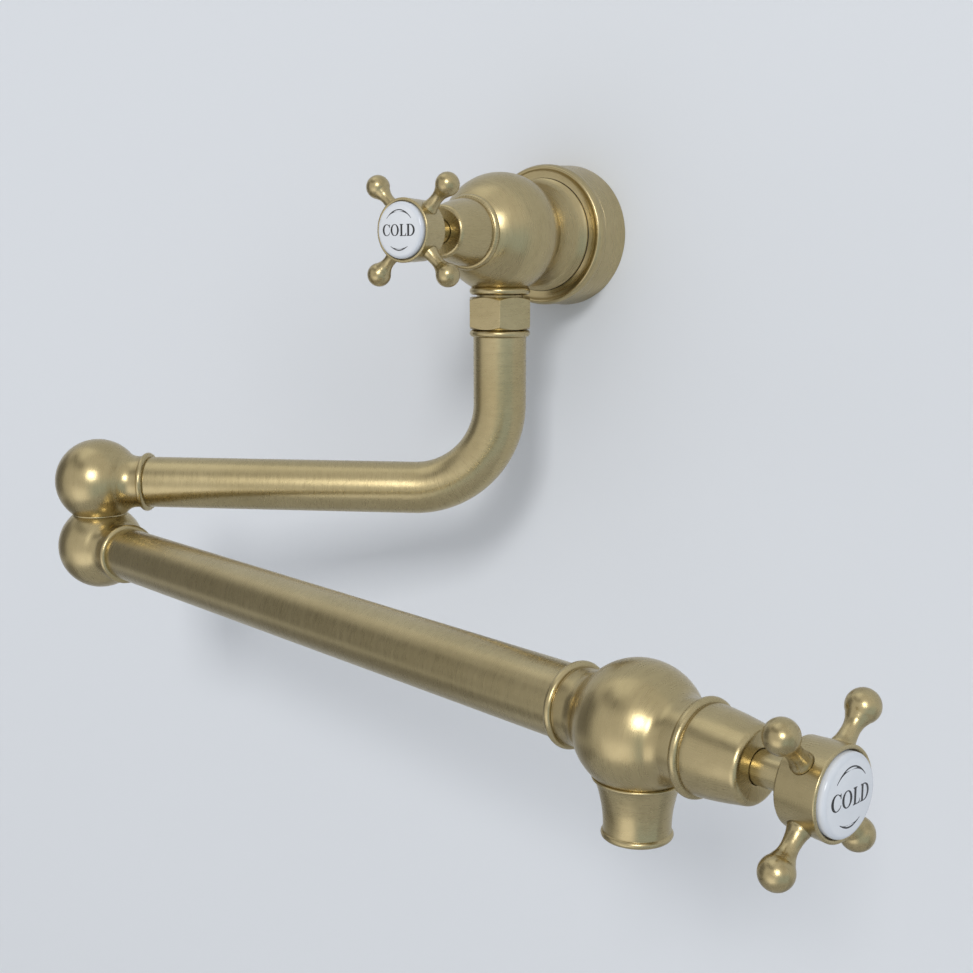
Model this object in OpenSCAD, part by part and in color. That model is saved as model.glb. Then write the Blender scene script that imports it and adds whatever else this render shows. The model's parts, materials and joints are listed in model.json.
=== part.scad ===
// Wall mounted double jointed pot filler with two quarter turn valves.
// Units are millimetres. The origin is the centre of the cover flange's back, on the wall,
// in line with the upper valve. X runs right along the wall, Y runs into the wall, Z is up.

/* [Arms] */
// Outer diameter of the arm tubes
tube_d = 22; // [20:0.5:24]
// Wall of the arm tubes
tube_wall = 1.2; // [0.8:0.1:1.6]
// Upper valve axis down to the axis of the upper arm
drop_height = 106.8; // [90:0.2:140]
// Radius of the bend, on the tube's centre line
bend_r = 36.6; // [26:0.2:45]
// Drop axis to the swivel axis
upper_arm_length = 178.2; // [120:0.2:260]
// Swivel axis to the centre of the lower valve
lower_arm_length = 319.8; // [200:0.2:420]
// Angle between the upper arm and the wall
upper_arm_turn = 27.8; // [0:0.1:60]
// Angle between the lower arm and the wall
lower_arm_turn = 13.2; // [0:0.1:60]
// Length of each spigot that fits inside a tube
insert_length = 11; // [6:0.5:16]

/* [Beads and necks] */
// Radius of the neck that joins a small ball to its tube
neck_r = 11.2; // [10.5:0.1:12]
// Radius of the hollow where a small ball runs into its neck
neck_fillet_r = 8.8; // [6:0.1:12]
// Radius of the round section of the ring at a tube's end
bead_half = 1.4; // [0.8:0.1:1.8]
// Outer radius of the ring at a tube's end
bead_r = 12.8; // [12:0.1:14]
// Upper swivel ball's centre to its ring
upper_ball_bead = 22.7; // [20:0.1:28]
// Lower swivel ball's centre to its ring
lower_ball_bead = 24.6; // [20:0.1:28]
// Lower valve ball's centre to its ring
valve_ball_bead = 23.6; // [20:0.1:28]

/* [Wall fixing] */
// Wall to the centre of the upper valve ball
valve_reach = 51; // [48:0.5:62]
// Diameter of the cover flange at the wall
flange_d = 60.4; // [58:0.2:70]
// Wall to the middle of the flange's front edge
flange_depth = 19; // [17:0.1:21]
// Wall to where the raised band ends at the back
flange_band_back = 15.8; // [14:0.1:16.5]
// How much narrower the flange's side is at the band
flange_taper = 0.85; // [0:0.05:1.5]
// How far the band stands out from the flange's side
flange_band_proud = 0.45; // [0.2:0.05:1]
// Radius of the band's bowed side
flange_bow_r = 4.4; // [3:0.1:6]
// Radius of the flange's front edge
flange_edge_r = 1.1; // [0.8:0.1:2]
// Sheet thickness of the flange
flange_wall = 1.3; // [0.8:0.1:1.6]
// Diameter of the plate that is screwed to the wall
plate_d = 54; // [50:0.5:56]
// Thickness of the plate
plate_t = 4; // [3:0.5:6]
// Diameter of the circle that the screw holes lie on
screw_circle_d = 42; // [40:0.5:44]
// Diameter of a screw hole
screw_hole_d = 5.5; // [4.5:0.1:6]
// Number of screw holes
screw_count = 3; // [3:1:4]
// Diameter of the threaded inlet tail
tail_d = 20.96; // [20:0.02:22]
// Length of the inlet tail behind the wall
tail_length = 18; // [12:0.5:30]
// Diameter of the waterway in the inlet tail
tail_bore_d = 13; // [10:0.5:14]

/* [Upper valve] */
// Diameter of the upper valve ball
upper_ball_d = 49.5; // [48:0.1:52]
// Diameter of the skirt that enters the flange
skirt_d = 47.6; // [46:0.1:49]
// Valve ball's centre to where the skirt begins to flare behind the ball
skirt_front = 22.5; // [20:0.1:24]
// Length of the skirt's flare
skirt_flare = 7.5; // [6:0.1:9]
// How far the flare widens the skirt's radius
skirt_rise = 3.5; // [3:0.1:5]
// Radius of the hollow where the ball runs into the skirt
skirt_hollow_r = 4; // [2:0.1:5]
// Outer radius of the ring round the foot of the upper bonnet
upper_foot_r = 15; // [14.5:0.1:16]
// Radius of the section of that ring
upper_foot_half = 1.6; // [1.2:0.1:1.9]
// Valve ball's centre to the middle of that ring
upper_foot_t = 22.3; // [22:0.1:23.5]
// Outer radius of the ring under the upper valve ball
outlet_bead_r = 12.6; // [12:0.1:13.4]
// Radius of the section of that ring
outlet_bead_half = 1.6; // [1.2:0.1:1.8]
// Valve ball's centre down to the middle of that ring
outlet_bead_z = 23.4; // [23:0.1:25]

/* [Lower valve] */
// Diameter of the lower valve ball
lower_ball_d = 37.1; // [36:0.1:39]
// Radius of the neck behind the lower bonnet's foot
lower_shoulder_r = 11.9; // [11.2:0.1:12.2]
// Radius of the hollow where the lower ball runs into that neck
lower_hollow_r = 6; // [3:0.1:8]
// Outer radius of the ring round the foot of the lower bonnet
lower_foot_r = 13.6; // [13.2:0.1:15]
// Radius of the section of that ring
lower_foot_half = 1.4; // [1.1:0.1:1.7]
// Valve ball's centre to the middle of that ring
lower_foot_t = 22.4; // [22:0.1:23.5]

/* [Bonnets] */
// Outer radius of a bonnet next to its foot ring, upper valve
upper_barrel_r = 13.5; // [13:0.1:14]
// Outer radius of a bonnet next to its foot ring, lower valve
lower_barrel_r = 12.4; // [12.2:0.1:13]
// Outer radius of both bonnets at the front edge
bonnet_front_r = 10.5; // [10.2:0.1:12]
// Valve ball's centre to the front face of the bonnet
bonnet_front_t = 40.4; // [39.5:0.1:43]
// Radius of the bonnet's front edge
bonnet_edge_r = 1.9; // [0.8:0.1:2]
// Thickness of the bonnet's front wall
bonnet_front_wall = 3; // [2:0.1:4]
// Radius of the hole that the spindle comes out of
bonnet_hole_r = 4.75; // [4.7:0.05:5.2]

/* [Union nut] */
// Width of the union nut across its flats
nut_width = 24.8; // [24.4:0.1:27]
// Height of the union nut
nut_height = 13.2; // [12:0.1:15]
// Gap between the ring above and the nut
nut_gap = 0.9; // [0.4:0.1:1.5]
// Angle that the nut stands at
nut_turn = 4.6; // [0:0.1:60]
// Gap between the nut and the ring below
nut_foot_gap = 0.3; // [0.2:0.1:1]
// Outer radius of the ring below the nut
drop_bead_r = 12.6; // [12:0.1:13.4]

/* [Swivel joint] */
// Diameter of both swivel balls
swivel_ball_d = 36.9; // [36:0.1:39]
// Upper ball's centre to its flat underside
ball_flat = 14.2; // [13.5:0.1:15]
// Thickness of the washer between the balls
washer_t = 0.6; // [0.4:0.1:1.2]
// Outer radius of the washer
washer_r = 11.8; // [11:0.1:12.4]
// Radius of the hollow pivot
pivot_r = 7.5; // [7:0.1:8]

/* [Handles] */
// Radius of a valve spindle
spindle_r = 4.6; // [4.2:0.1:4.65]
// Valve ball's centre to the back of the hub
hub_back_t = 52.5; // [51:0.1:55]
// Length of the hub
hub_length = 12; // [11.6:0.1:14]
// Radius of the hub at its back
hub_back_r = 11.5; // [11.4:0.05:12]
// Radius of the hub at its front
hub_front_r = 12.1; // [12.1:0.05:13]
// Radius of the recess for the index button
hub_recess_r = 10.9; // [10.4:0.05:11]
// Hub's back to the axes of the levers
lever_t = 5.6; // [5.2:0.1:5.8]
// Valve axis to the centre of a lever's ball
lever_ball_reach = 23.4; // [22:0.1:30]
// Radius of a lever's ball
lever_ball_r = 4.57; // [4:0.01:5.2]
// Radius of a lever's waist
lever_waist_r = 2.3; // [2:0.05:2.8]
// Radius of a lever's root
lever_root_r = 3.1; // [2.8:0.05:3.2]
// Radius of the index button
button_r = 10.6; // [10.2:0.05:10.7]
// How far the button's face stands in front of the hub's rim
button_proud = 1.6; // [0.8:0.1:2]
// Height of the button's dome
button_dome = 0.5; // [0.1:0.1:1]
// Radius of the button's edge
button_edge_r = 1.3; // [0.6:0.1:1.6]

/* [Spout] */
// Outer radius of the rim at the top of the nozzle
nozzle_rim_r = 12.7; // [12.4:0.1:14]
// Lower valve ball's centre down to the top of the nozzle
nozzle_top = 14; // [13.5:0.1:15]
// Length of the nozzle
nozzle_length = 17.4; // [16.5:0.1:24]
// Radius of the nozzle's waist
nozzle_waist_r = 9.4; // [9.2:0.1:10.2]
// Outer radius of the nozzle's lip
nozzle_lip_r = 10; // [9.8:0.1:11.2]
// Radius of the section of the lip
nozzle_lip_half = 1.1; // [0.9:0.1:1.2]

/* [Hidden] */
// Clearances and the length by which every cut runs past its wall
fit = 0.05;
end_gap = 0.05;
over = 1;
smooth = 96;
arc_steps = 10;
ball_steps = 26;

// Tubes
tube_r = tube_d / 2;
tube_in_r = tube_r - tube_wall;
insert_r = tube_in_r - fit;
insert_chamfer = 0.6;
waterway_r = 6.5;

// Chamber of both valves, measured forward from the ball's centre
seat_t = -7;
chamber_r = 9.4;
chamber_front_t = 23;
front_neck_r = 10.9;

// Cartridge, measured forward from the ball's centre
seal_t = 1.4;
seal_step_t = 1.2;
seal_bore_r = 6;
seal_gap = 0.3;
disc_t = 2.5;
cartridge_in_r = 6.9;
cartridge_out_r = 7.9;
cartridge_foot_t = seat_t + seal_t;
fixed_disc_back_t = cartridge_foot_t + seal_step_t;
fixed_disc_front_t = fixed_disc_back_t + disc_t;
moving_disc_back_t = fixed_disc_front_t + end_gap;
moving_disc_front_t = moving_disc_back_t + disc_t;
moving_disc_clearance = 0.3;
disc_hole_r = 2.1;
disc_hole_reach = 4;
cartridge_cavity_front_t = 7;
cartridge_thread_back_t = 8.2;
cartridge_hex_w = 18.6;
cartridge_hex_t = 3.5;
cartridge_neck_r = 8.2;
window_w = 6;
window_back_t = 1.2;
window_length = 3.8;

// Spindle
spindle_foot_r = 6.5;
spindle_foot_t = 2.4;
spindle_tongue_w = 2.2;
spindle_tongue_length = 11;
spindle_tongue_depth = 0.8;
spindle_flat = 3.6;
spindle_drive_length = 4.5;
spindle_ring_t = 32;
ring_groove_depth = 1.3;
ring_groove_w = 1.6;
ring_half = 0.63;
tapped_r = 2.05;
tapped_depth = 10;

// Hub, screw and index button
hub_edge_r = 0.7;
hub_web_t = 1.6;
hub_floor_t = 8.4;
screw_r = 2;
screw_head_r = 3.7;
screw_head_t = 2;
screw_slot_w = 1;
screw_slot_depth = 0.9;
screw_length = 10.5;
screw_pocket_r = 4;
lever_spigot_r = 2;
lever_spigot_back = 8.2;
lever_seat = 11.2;
carrier_t = 0.9;
carrier_hole_r = 2.4;
hub_front_t = hub_back_t + hub_length;
hub_recess_t = hub_back_t + hub_floor_t;
button_back_t = hub_recess_t + carrier_t + end_gap;

// Lever outline between its root and its ball, as shares of that stretch and of the step
// from the waist to the root or to the ball
lever_along_shares = [0, 0.1, 0.24, 0.42, 0.6, 0.78, 0.9];
lever_swell_shares = [1, 0.93, 0.42, 0.1, 0, 0.22, 0.62];
lever_shoulder_share = 0.66;

// Bonnet inside
bonnet_bore_r = front_neck_r + 3 * fit;
bonnet_bore_run = 0.6;
bonnet_bore_front_t = chamber_front_t + cartridge_hex_t + bonnet_bore_run;
bonnet_collar_r = cartridge_neck_r + fit;
bonnet_in_t = bonnet_front_t - bonnet_front_wall;
bonnet_belly_share = 0.12;

// Body, plate and tail, measured forward from the upper ball's centre
wall_t = -valve_reach;
plate_front_t = wall_t + plate_t;
tail_relief = 1;
tail_relief_depth = 0.28;
tail_shank_r = tail_d / 2 - tail_relief_depth;
plate_hole_r = tail_d / 2 + fit;
plate_rim_r = 1;
boss_r = 15;
skirt_r = skirt_d / 2;
skirt_gap = 11;
skirt_back_t = plate_front_t + skirt_gap;
tail_neck_r = 9.35;
tail_neck_length = 9;
tail_chamfer = 1;
tail_ring_t = plate_front_t + tail_neck_length / 2;
flange_hole_gap = 0.25;
flange_hole_t = wall_t + flange_depth + flange_edge_r;
flange_band_back_r = 0.9;
flange_dish_drop = 0.45;
flange_ring_half = 0.6;
flange_ring_r = skirt_r + flange_hole_gap - flange_ring_half - fit / 2;
flange_ring_t = flange_hole_t - flange_wall / 2;
flange_groove_depth = 1;
flange_groove_w = 1.4;

// Outlet of the upper valve and the union, measured down from the upper ball's centre
outlet_neck_r = neck_r;
outlet_waterway_r = 5.6;
socket_r = pivot_r + fit;
socket_top_z = 23;
thread_r = 9.6;
outlet_end_z = 33;
outlet_bead_low_z = outlet_bead_z + outlet_bead_half;
nut_top_z = outlet_bead_low_z + nut_gap;
nut_low_z = nut_top_z + nut_height;
nut_lip = 2.15;
nut_lip_z = nut_low_z - nut_lip;
nut_chamfer_inset = 0.1;
nut_chamfer_angle = 31;
nut_mouth_chamfer = 0.6;
collar_t = 1.75;
collar_r = 9.4;
collar_low_z = nut_lip_z - end_gap;
collar_top_z = collar_low_z - collar_t;
thrust_low_z = collar_top_z - end_gap;
thrust_gap = 0.1;
thrust_in_r = socket_r + thrust_gap;
shaft_r = 8.5;
drop_bead_half = 1.45;
drop_bead_top_z = nut_low_z + nut_foot_gap;
drop_bead_low_z = drop_bead_top_z + 2 * drop_bead_half;
drop_pivot_length = 11;
drop_bore_r = 4.9;
drop_ring_pitch = 3.8;
pivot_ring_half = 0.82;
pivot_groove_depth = 1.65;
pivot_groove_w = 2;

// Swivel joint, measured from the upper ball's centre
swivel_ball_r = swivel_ball_d / 2;
swivel_pitch = 2 * ball_flat + washer_t + end_gap;
washer_in_r = 8;
pivot_floor = 3;
pivot_cavity_r = 9.2;
pivot_cavity_top = 6;
pivot_bore_r = 4.6;
pivot_seat = 3;
lower_cavity_r = 7;
lower_cavity_low = -6;
clip_t = 1;
clip_r = 8.9;
clip_groove_depth = 0.8;
clip_gap = 5;
pivot_ring_pitch = 4.2;
pivot_top = 0.3;

// Spout, measured down from the lower ball's centre
spout_spigot_r = 8.2;
spout_spigot_length = 6.2;
spout_bore_r = 6;
nozzle_rim_t = 0.8;
nozzle_low = nozzle_top + nozzle_length;
nozzle_socket_gap = 0.2;
nozzle_mouth_r = 8;
aerator_recess = 1.2;
aerator_r = nozzle_mouth_r - fit;
aerator_bore_r = 5.6;
aerator_ledge_r = 6.9;
screen_t = 0.8;
screen_hole_r = 0.55;
screen_pitch = 1.7;
screen_rings = 3;
aerator_washer_t = 1.8;
nozzle_along_shares = [0.06, 0.13, 0.26, 0.4, 0.55, 0.7, 0.86];
nozzle_swell_shares = [0.66, 0.56, 0.4, 0.26, 0.13, 0.05, 0];

// Places
elbow_x = -upper_arm_length * cos(upper_arm_turn);
elbow_y = -valve_reach - upper_arm_length * sin(upper_arm_turn);
lower_arm_z = -drop_height - swivel_pitch;
lower_valve_x = elbow_x + lower_arm_length * cos(lower_arm_turn);
lower_valve_y = elbow_y - lower_arm_length * sin(lower_arm_turn);
lower_valve_facing = 90 - lower_arm_turn;

satin_brass = [0.62, 0.56, 0.40];
plain_brass = [0.71, 0.60, 0.36];
steel = [0.72, 0.72, 0.70];
rubber = [0.12, 0.12, 0.12];
ceramic = [0.93, 0.94, 0.95];
alumina = [0.88, 0.86, 0.80];
plastic = [0.85, 0.86, 0.86];

// Points along an arc about c, from angle a0 to angle a1
function arc(c, r, a0, a1, steps) =
    [for (i = [0:steps]) let (a = a0 + (a1 - a0) * i / steps) [c[0] + r * cos(a), c[1] + r * sin(a)]];

// Half outline of a ball about the origin that runs into a neck through a hollow fillet
function ball_to_neck(ball_r, thin_r, hollow_r, a0) =
    let (
        reach = thin_r + hollow_r,
        rise = sqrt(pow(ball_r + hollow_r, 2) - pow(reach, 2)),
        a = atan2(rise, reach)
    )
    concat(
        arc([0, 0], ball_r, a0, a, ball_steps),
        arc([reach, rise], hollow_r, 180 + a, 180, arc_steps)
    );

// The same outline upside down, in the order that carries on from below
function flipped(points) = [for (i = [len(points) - 1:-1:0]) [points[i][0], -points[i][1]]];

// Half outline of a round ring about a neck
function ring_arc(height, crest_r, half) = arc([crest_r - half, height], half, -90, 90, arc_steps);

// Places a piece of the upper valve: local Z is forward along the valve, local Y is up
module at_upper_valve() translate([0, -valve_reach, 0]) rotate([90, 0, 0]) children();

// Places a piece of the lower valve the same way
module at_lower_valve()
    translate([lower_valve_x, lower_valve_y, lower_arm_z]) rotate([90, 0, lower_valve_facing]) children();

// Places a piece on the drop axis, with local Z down from the upper valve
module at_drop() translate([0, -valve_reach, 0]) rotate([180, 0, 0]) children();

// Places a piece on the spout axis, with local Z down from the lower valve
module at_spout() translate([lower_valve_x, lower_valve_y, lower_arm_z]) rotate([180, 0, 0]) children();

// Places a piece on the swivel axis, with local Z up and local X along the upper arm to the drop
module at_upper_swivel()
    translate([elbow_x, elbow_y, -drop_height]) rotate([0, 0, upper_arm_turn]) children();

// Places a piece on the swivel axis, with local Z up and local X along the lower arm
module at_lower_swivel()
    translate([elbow_x, elbow_y, lower_arm_z]) rotate([0, 0, -lower_arm_turn]) children();

// A plain ring between two heights
module ring(outer_r, inner_r, low, high)
    translate([0, 0, low]) difference() {
        cylinder(r = outer_r, h = high - low, $fn = smooth);
        translate([0, 0, -over]) cylinder(r = inner_r, h = high - low + 2 * over, $fn = smooth);
    }

// A rod between two heights
module rod(r, low, high) translate([0, 0, low]) cylinder(r = r, h = high - low, $fn = smooth);

// A rubber ring of round section
module o_ring(middle_r, half, height)
    color(rubber) rotate_extrude($fn = smooth) translate([middle_r, height]) circle(r = half, $fn = smooth);

// A body turned from a half outline
module turned(points) rotate_extrude($fn = smooth) polygon(points);

// Cover flange: a deep cup with a raised band round its mouth, a rounded front edge and a dished front
module wall_flange() {
    hole_r = skirt_r + flange_hole_gap;
    crest_r = flange_d / 2 - flange_taper + flange_band_proud;
    bow_a = 35;
    edge_middle_r = crest_r - flange_bow_r * (1 - cos(bow_a)) - flange_edge_r * cos(bow_a);
    edge_middle_t = wall_t + flange_depth;
    bow_middle_t = edge_middle_t - (flange_bow_r - flange_edge_r) * sin(bow_a);
    dish_r = (hole_r + edge_middle_r - flange_edge_r) / 2;
    color(satin_brass) at_upper_valve() turned(concat(
        [[flange_d / 2 - flange_wall, wall_t], [flange_d / 2, wall_t]],
        arc([crest_r - flange_band_back_r, wall_t + flange_band_back],
            flange_band_back_r, -60, 0, arc_steps),
        arc([crest_r - flange_bow_r, bow_middle_t], flange_bow_r, 0, bow_a, arc_steps),
        arc([edge_middle_r, edge_middle_t], flange_edge_r, bow_a, 150, arc_steps),
        [
            [dish_r, flange_hole_t - flange_dish_drop],
            [hole_r, flange_hole_t],
            [hole_r, flange_hole_t - flange_wall],
            [dish_r + flange_edge_r, flange_hole_t - flange_dish_drop - flange_wall],
            [crest_r - flange_band_proud - flange_wall, bow_middle_t - flange_edge_r],
        ]
    ));
}

// Rubber ring that holds the flange on the body
module flange_ring() at_upper_valve() o_ring(flange_ring_r, flange_ring_half, flange_ring_t);

// Plate that is screwed to the wall and carries the valve
module mounting_plate()
    color(steel) at_upper_valve() difference() {
        turned([
            [plate_hole_r, wall_t], [plate_d / 2, wall_t], [plate_d / 2, plate_front_t - plate_rim_r],
            [plate_d / 2 - plate_rim_r, plate_front_t], [plate_hole_r, plate_front_t],
        ]);
        for (i = [0:screw_count - 1])
            rotate([0, 0, 90 + i * 360 / screw_count]) translate([screw_circle_d / 2, 0, 0])
                rod(screw_hole_d / 2, wall_t - over, plate_front_t + over);
    }

// Threaded inlet tail: its thread stands behind the wall and its thinner shank passes through the plate
module inlet_tail()
    color(plain_brass) at_upper_valve() difference() {
        turned([
            [tail_bore_d / 2, wall_t - tail_length],
            [tail_d / 2 - tail_chamfer, wall_t - tail_length],
            [tail_d / 2, wall_t - tail_length + tail_chamfer],
            [tail_d / 2, wall_t - tail_relief],
            [tail_shank_r, wall_t - tail_relief],
            [tail_shank_r, plate_front_t],
            [tail_neck_r, plate_front_t],
            [tail_neck_r, plate_front_t + tail_neck_length],
            [tail_bore_d / 2, plate_front_t + tail_neck_length],
        ]);
        ring(tail_neck_r + over, tail_neck_r - pivot_groove_depth,
            tail_ring_t - pivot_groove_w / 2, tail_ring_t + pivot_groove_w / 2);
    }

// Rubber ring that seals the tail in the body
module tail_ring() at_upper_valve() o_ring(tail_neck_r - pivot_groove_depth + pivot_ring_half + fit / 2,
    pivot_ring_half, tail_ring_t);

// Chamber for a cartridge, open at the front, with the waterway that feeds its seat
module valve_chamber(inlet_back_t) {
    rod(chamber_r, seat_t, chamber_front_t + over);
    rod(waterway_r, inlet_back_t, seat_t + over);
}

// Body of the upper valve: boss, flared skirt, ball and outlet in one casting
module upper_valve_body() {
    ball_r = upper_ball_d / 2;
    root_r = skirt_r - skirt_rise;
    neck_a = acos(front_neck_r / ball_r);
    flare_r = (pow(skirt_flare, 2) + pow(skirt_rise, 2)) / (2 * skirt_rise);
    flare_a = asin(skirt_flare / flare_r);
    color(satin_brass) difference() {
        union() {
            at_upper_valve() turned(concat(
                [
                    [0, plate_front_t], [boss_r, plate_front_t],
                    [boss_r, skirt_back_t], [skirt_r, skirt_back_t],
                ],
                arc([root_r + flare_r, -skirt_front], flare_r, 180 + flare_a, 180, arc_steps),
                flipped(ball_to_neck(ball_r, root_r, skirt_hollow_r, 0)),
                arc([0, 0], ball_r, 0, neck_a, ball_steps),
                [[front_neck_r, chamber_front_t], [0, chamber_front_t]]
            ));
            at_drop() turned(concat(
                [[0, ball_r / 2], [outlet_neck_r, ball_r / 2]],
                ring_arc(outlet_bead_z, outlet_bead_r, outlet_bead_half),
                [[thread_r, outlet_bead_low_z], [thread_r, outlet_end_z], [0, outlet_end_z]]
            ));
        }
        at_upper_valve() {
            valve_chamber(plate_front_t);
            rod(tail_neck_r + fit, plate_front_t - over, plate_front_t + tail_neck_length);
            ring(skirt_r + over, skirt_r - flange_groove_depth,
                flange_ring_t - flange_groove_w / 2, flange_ring_t + flange_groove_w / 2);
        }
        at_drop() {
            rod(outlet_waterway_r, 0, socket_top_z + over);
            rod(socket_r, socket_top_z, outlet_end_z + over);
        }
    }
}

// Bonnet that covers a cartridge, with a ring round its foot
module bonnet(ball_r, foot_t, foot_r, foot_half, barrel_r) {
    barrel_back_t = foot_t + foot_half;
    barrel_length = bonnet_front_t - bonnet_edge_r - barrel_back_t;
    belly = bonnet_belly_share * (barrel_r - bonnet_front_r);
    color(satin_brass) difference() {
        turned(concat(
            [[bonnet_bore_r, foot_t - foot_half]],
            ring_arc(foot_t, foot_r, foot_half),
            [for (i = [0:arc_steps]) let (s = i / arc_steps) [
                barrel_r + (bonnet_front_r - barrel_r) * s + belly * sin(180 * s),
                barrel_back_t + barrel_length * s,
            ]],
            arc([bonnet_front_r - bonnet_edge_r, bonnet_front_t - bonnet_edge_r],
                bonnet_edge_r, 0, 90, arc_steps),
            [
                [bonnet_hole_r, bonnet_front_t], [bonnet_hole_r, bonnet_in_t],
                [bonnet_collar_r, bonnet_in_t], [bonnet_collar_r, bonnet_bore_front_t],
                [bonnet_bore_r, bonnet_bore_front_t],
            ]
        ));
        sphere(r = ball_r + fit, $fn = smooth);
    }
}

module upper_bonnet()
    at_upper_valve() bonnet(upper_ball_d / 2, upper_foot_t, upper_foot_r, upper_foot_half, upper_barrel_r);

module lower_bonnet()
    at_lower_valve() bonnet(lower_ball_d / 2, lower_foot_t, lower_foot_r, lower_foot_half, lower_barrel_r);

// Body of a quarter turn cartridge: cage, thread, hexagon and neck
module cartridge()
    color(plain_brass) difference() {
        union() {
            rod(cartridge_out_r, cartridge_foot_t, chamber_front_t);
            rod(chamber_r - fit, cartridge_thread_back_t, chamber_front_t);
            translate([0, 0, chamber_front_t])
                cylinder(r = cartridge_hex_w / 2 / cos(30), h = cartridge_hex_t, $fn = 6);
            rod(cartridge_neck_r, chamber_front_t, bonnet_in_t);
        }
        rod(cartridge_in_r, cartridge_foot_t - over, cartridge_cavity_front_t);
        rod(spindle_r + fit, cartridge_foot_t, bonnet_in_t + over);
        translate([-window_w / 2, -chamber_r, window_back_t])
            cube([window_w, 2 * chamber_r, window_length]);
    }

module upper_cartridge() at_upper_valve() cartridge();

module lower_cartridge() at_lower_valve() cartridge();

// Rubber seal between a cartridge and its seat
module cartridge_seal()
    color(rubber) turned([
        [seal_bore_r, seat_t], [cartridge_out_r - seal_gap, seat_t],
        [cartridge_out_r - seal_gap, cartridge_foot_t],
        [cartridge_in_r - fit, cartridge_foot_t], [cartridge_in_r - fit, fixed_disc_back_t],
        [seal_bore_r, fixed_disc_back_t],
    ]);

module upper_cartridge_seal() at_upper_valve() cartridge_seal();

module lower_cartridge_seal() at_lower_valve() cartridge_seal();

// A ceramic disc with its two ports
module port_disc(r, back_t, port_turn)
    difference() {
        rod(r, back_t, back_t + disc_t);
        for (side = [0, 180])
            rotate([0, 0, port_turn + side]) translate([disc_hole_reach, 0, 0])
                rod(disc_hole_r, back_t - over, back_t + disc_t + over);
    }

// The disc that stands still, under the one that turns
module fixed_disc() color(alumina) port_disc(cartridge_in_r - fit, fixed_disc_back_t, 90);

module upper_fixed_disc() at_upper_valve() fixed_disc();

module lower_fixed_disc() at_lower_valve() fixed_disc();

// The disc that a spindle turns, slotted for the spindle's tongue
module moving_disc() {
    slot_w = spindle_tongue_w + 2 * fit;
    slot_length = spindle_tongue_length + 2 * fit;
    color(alumina) difference() {
        port_disc(cartridge_in_r - moving_disc_clearance, moving_disc_back_t, 0);
        translate([-slot_length / 2, -slot_w / 2, moving_disc_front_t - spindle_tongue_depth])
            cube([slot_length, slot_w, spindle_tongue_depth + over]);
    }
}

module upper_moving_disc() at_upper_valve() moving_disc();

module lower_moving_disc() at_lower_valve() moving_disc();

// Spindle with a tongue at its foot, a ring groove and a flatted end for the hub
module spindle() {
    foot_front_t = cartridge_cavity_front_t - end_gap;
    foot_back_t = foot_front_t - spindle_foot_t;
    tongue_back_t = moving_disc_front_t - spindle_tongue_depth;
    end_t = hub_back_t + spindle_drive_length;
    color(satin_brass) difference() {
        union() {
            rod(spindle_foot_r, foot_back_t, foot_front_t);
            rod(spindle_r, foot_back_t, end_t);
            intersection() {
                translate([-spindle_tongue_length / 2, -spindle_tongue_w / 2, tongue_back_t])
                    cube([spindle_tongue_length, spindle_tongue_w, foot_back_t - tongue_back_t]);
                rod(spindle_foot_r, tongue_back_t, foot_front_t);
            }
        }
        for (side = [-1, 1])
            translate([-spindle_r, side * (spindle_flat + spindle_r) - spindle_r, hub_back_t + end_gap])
                cube([2 * spindle_r, 2 * spindle_r, spindle_drive_length + over]);
        rod(tapped_r, end_t - tapped_depth, end_t + over);
        ring(spindle_r + over, spindle_r - ring_groove_depth,
            spindle_ring_t - ring_groove_w / 2, spindle_ring_t + ring_groove_w / 2);
    }
}

module upper_spindle() at_upper_valve() spindle();

module lower_spindle() at_lower_valve() spindle();

// Rubber ring that seals a spindle in its cartridge
module spindle_ring()
    o_ring(spindle_r - ring_groove_depth + ring_half + fit / 2, ring_half, spindle_ring_t);

module upper_spindle_ring() at_upper_valve() spindle_ring();

module lower_spindle_ring() at_lower_valve() spindle_ring();

// Handle hub: a slightly tapered drum with a recess in front and a flatted bore behind
module hub() {
    web_back_t = hub_back_t + spindle_drive_length;
    color(satin_brass) difference() {
        turned(concat(
            [[0, hub_back_t]],
            arc([hub_back_r - hub_edge_r, hub_back_t + hub_edge_r], hub_edge_r, -90, 0, arc_steps),
            arc([hub_front_r - hub_edge_r, hub_front_t - hub_edge_r], hub_edge_r, 0, 90, arc_steps),
            [[hub_recess_r, hub_front_t], [hub_recess_r, hub_recess_t], [0, hub_recess_t]]
        ));
        intersection() {
            rod(spindle_r + fit, hub_back_t - over, web_back_t);
            translate([-2 * spindle_r, -spindle_flat - fit, hub_back_t - over])
                cube([4 * spindle_r, 2 * (spindle_flat + fit), spindle_drive_length + over]);
        }
        rod(screw_r + 2 * fit, web_back_t - over, hub_recess_t + over);
        rod(screw_pocket_r, web_back_t + hub_web_t, hub_recess_t + over);
        for (i = [0:3]) at_lever(i) {
            rod(lever_spigot_r + fit, lever_spigot_back - fit, lever_ball_reach);
            rod(lever_root_r + fit, lever_seat, lever_ball_reach);
        }
    }
}

module upper_hub() at_upper_valve() hub();

module lower_hub() at_lower_valve() hub();

// Places a lever: local Z is outward from the valve's axis
module at_lever(i)
    translate([0, 0, hub_back_t + lever_t]) rotate([0, 0, 45 + i * 90]) rotate([0, 90, 0]) children();

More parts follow.
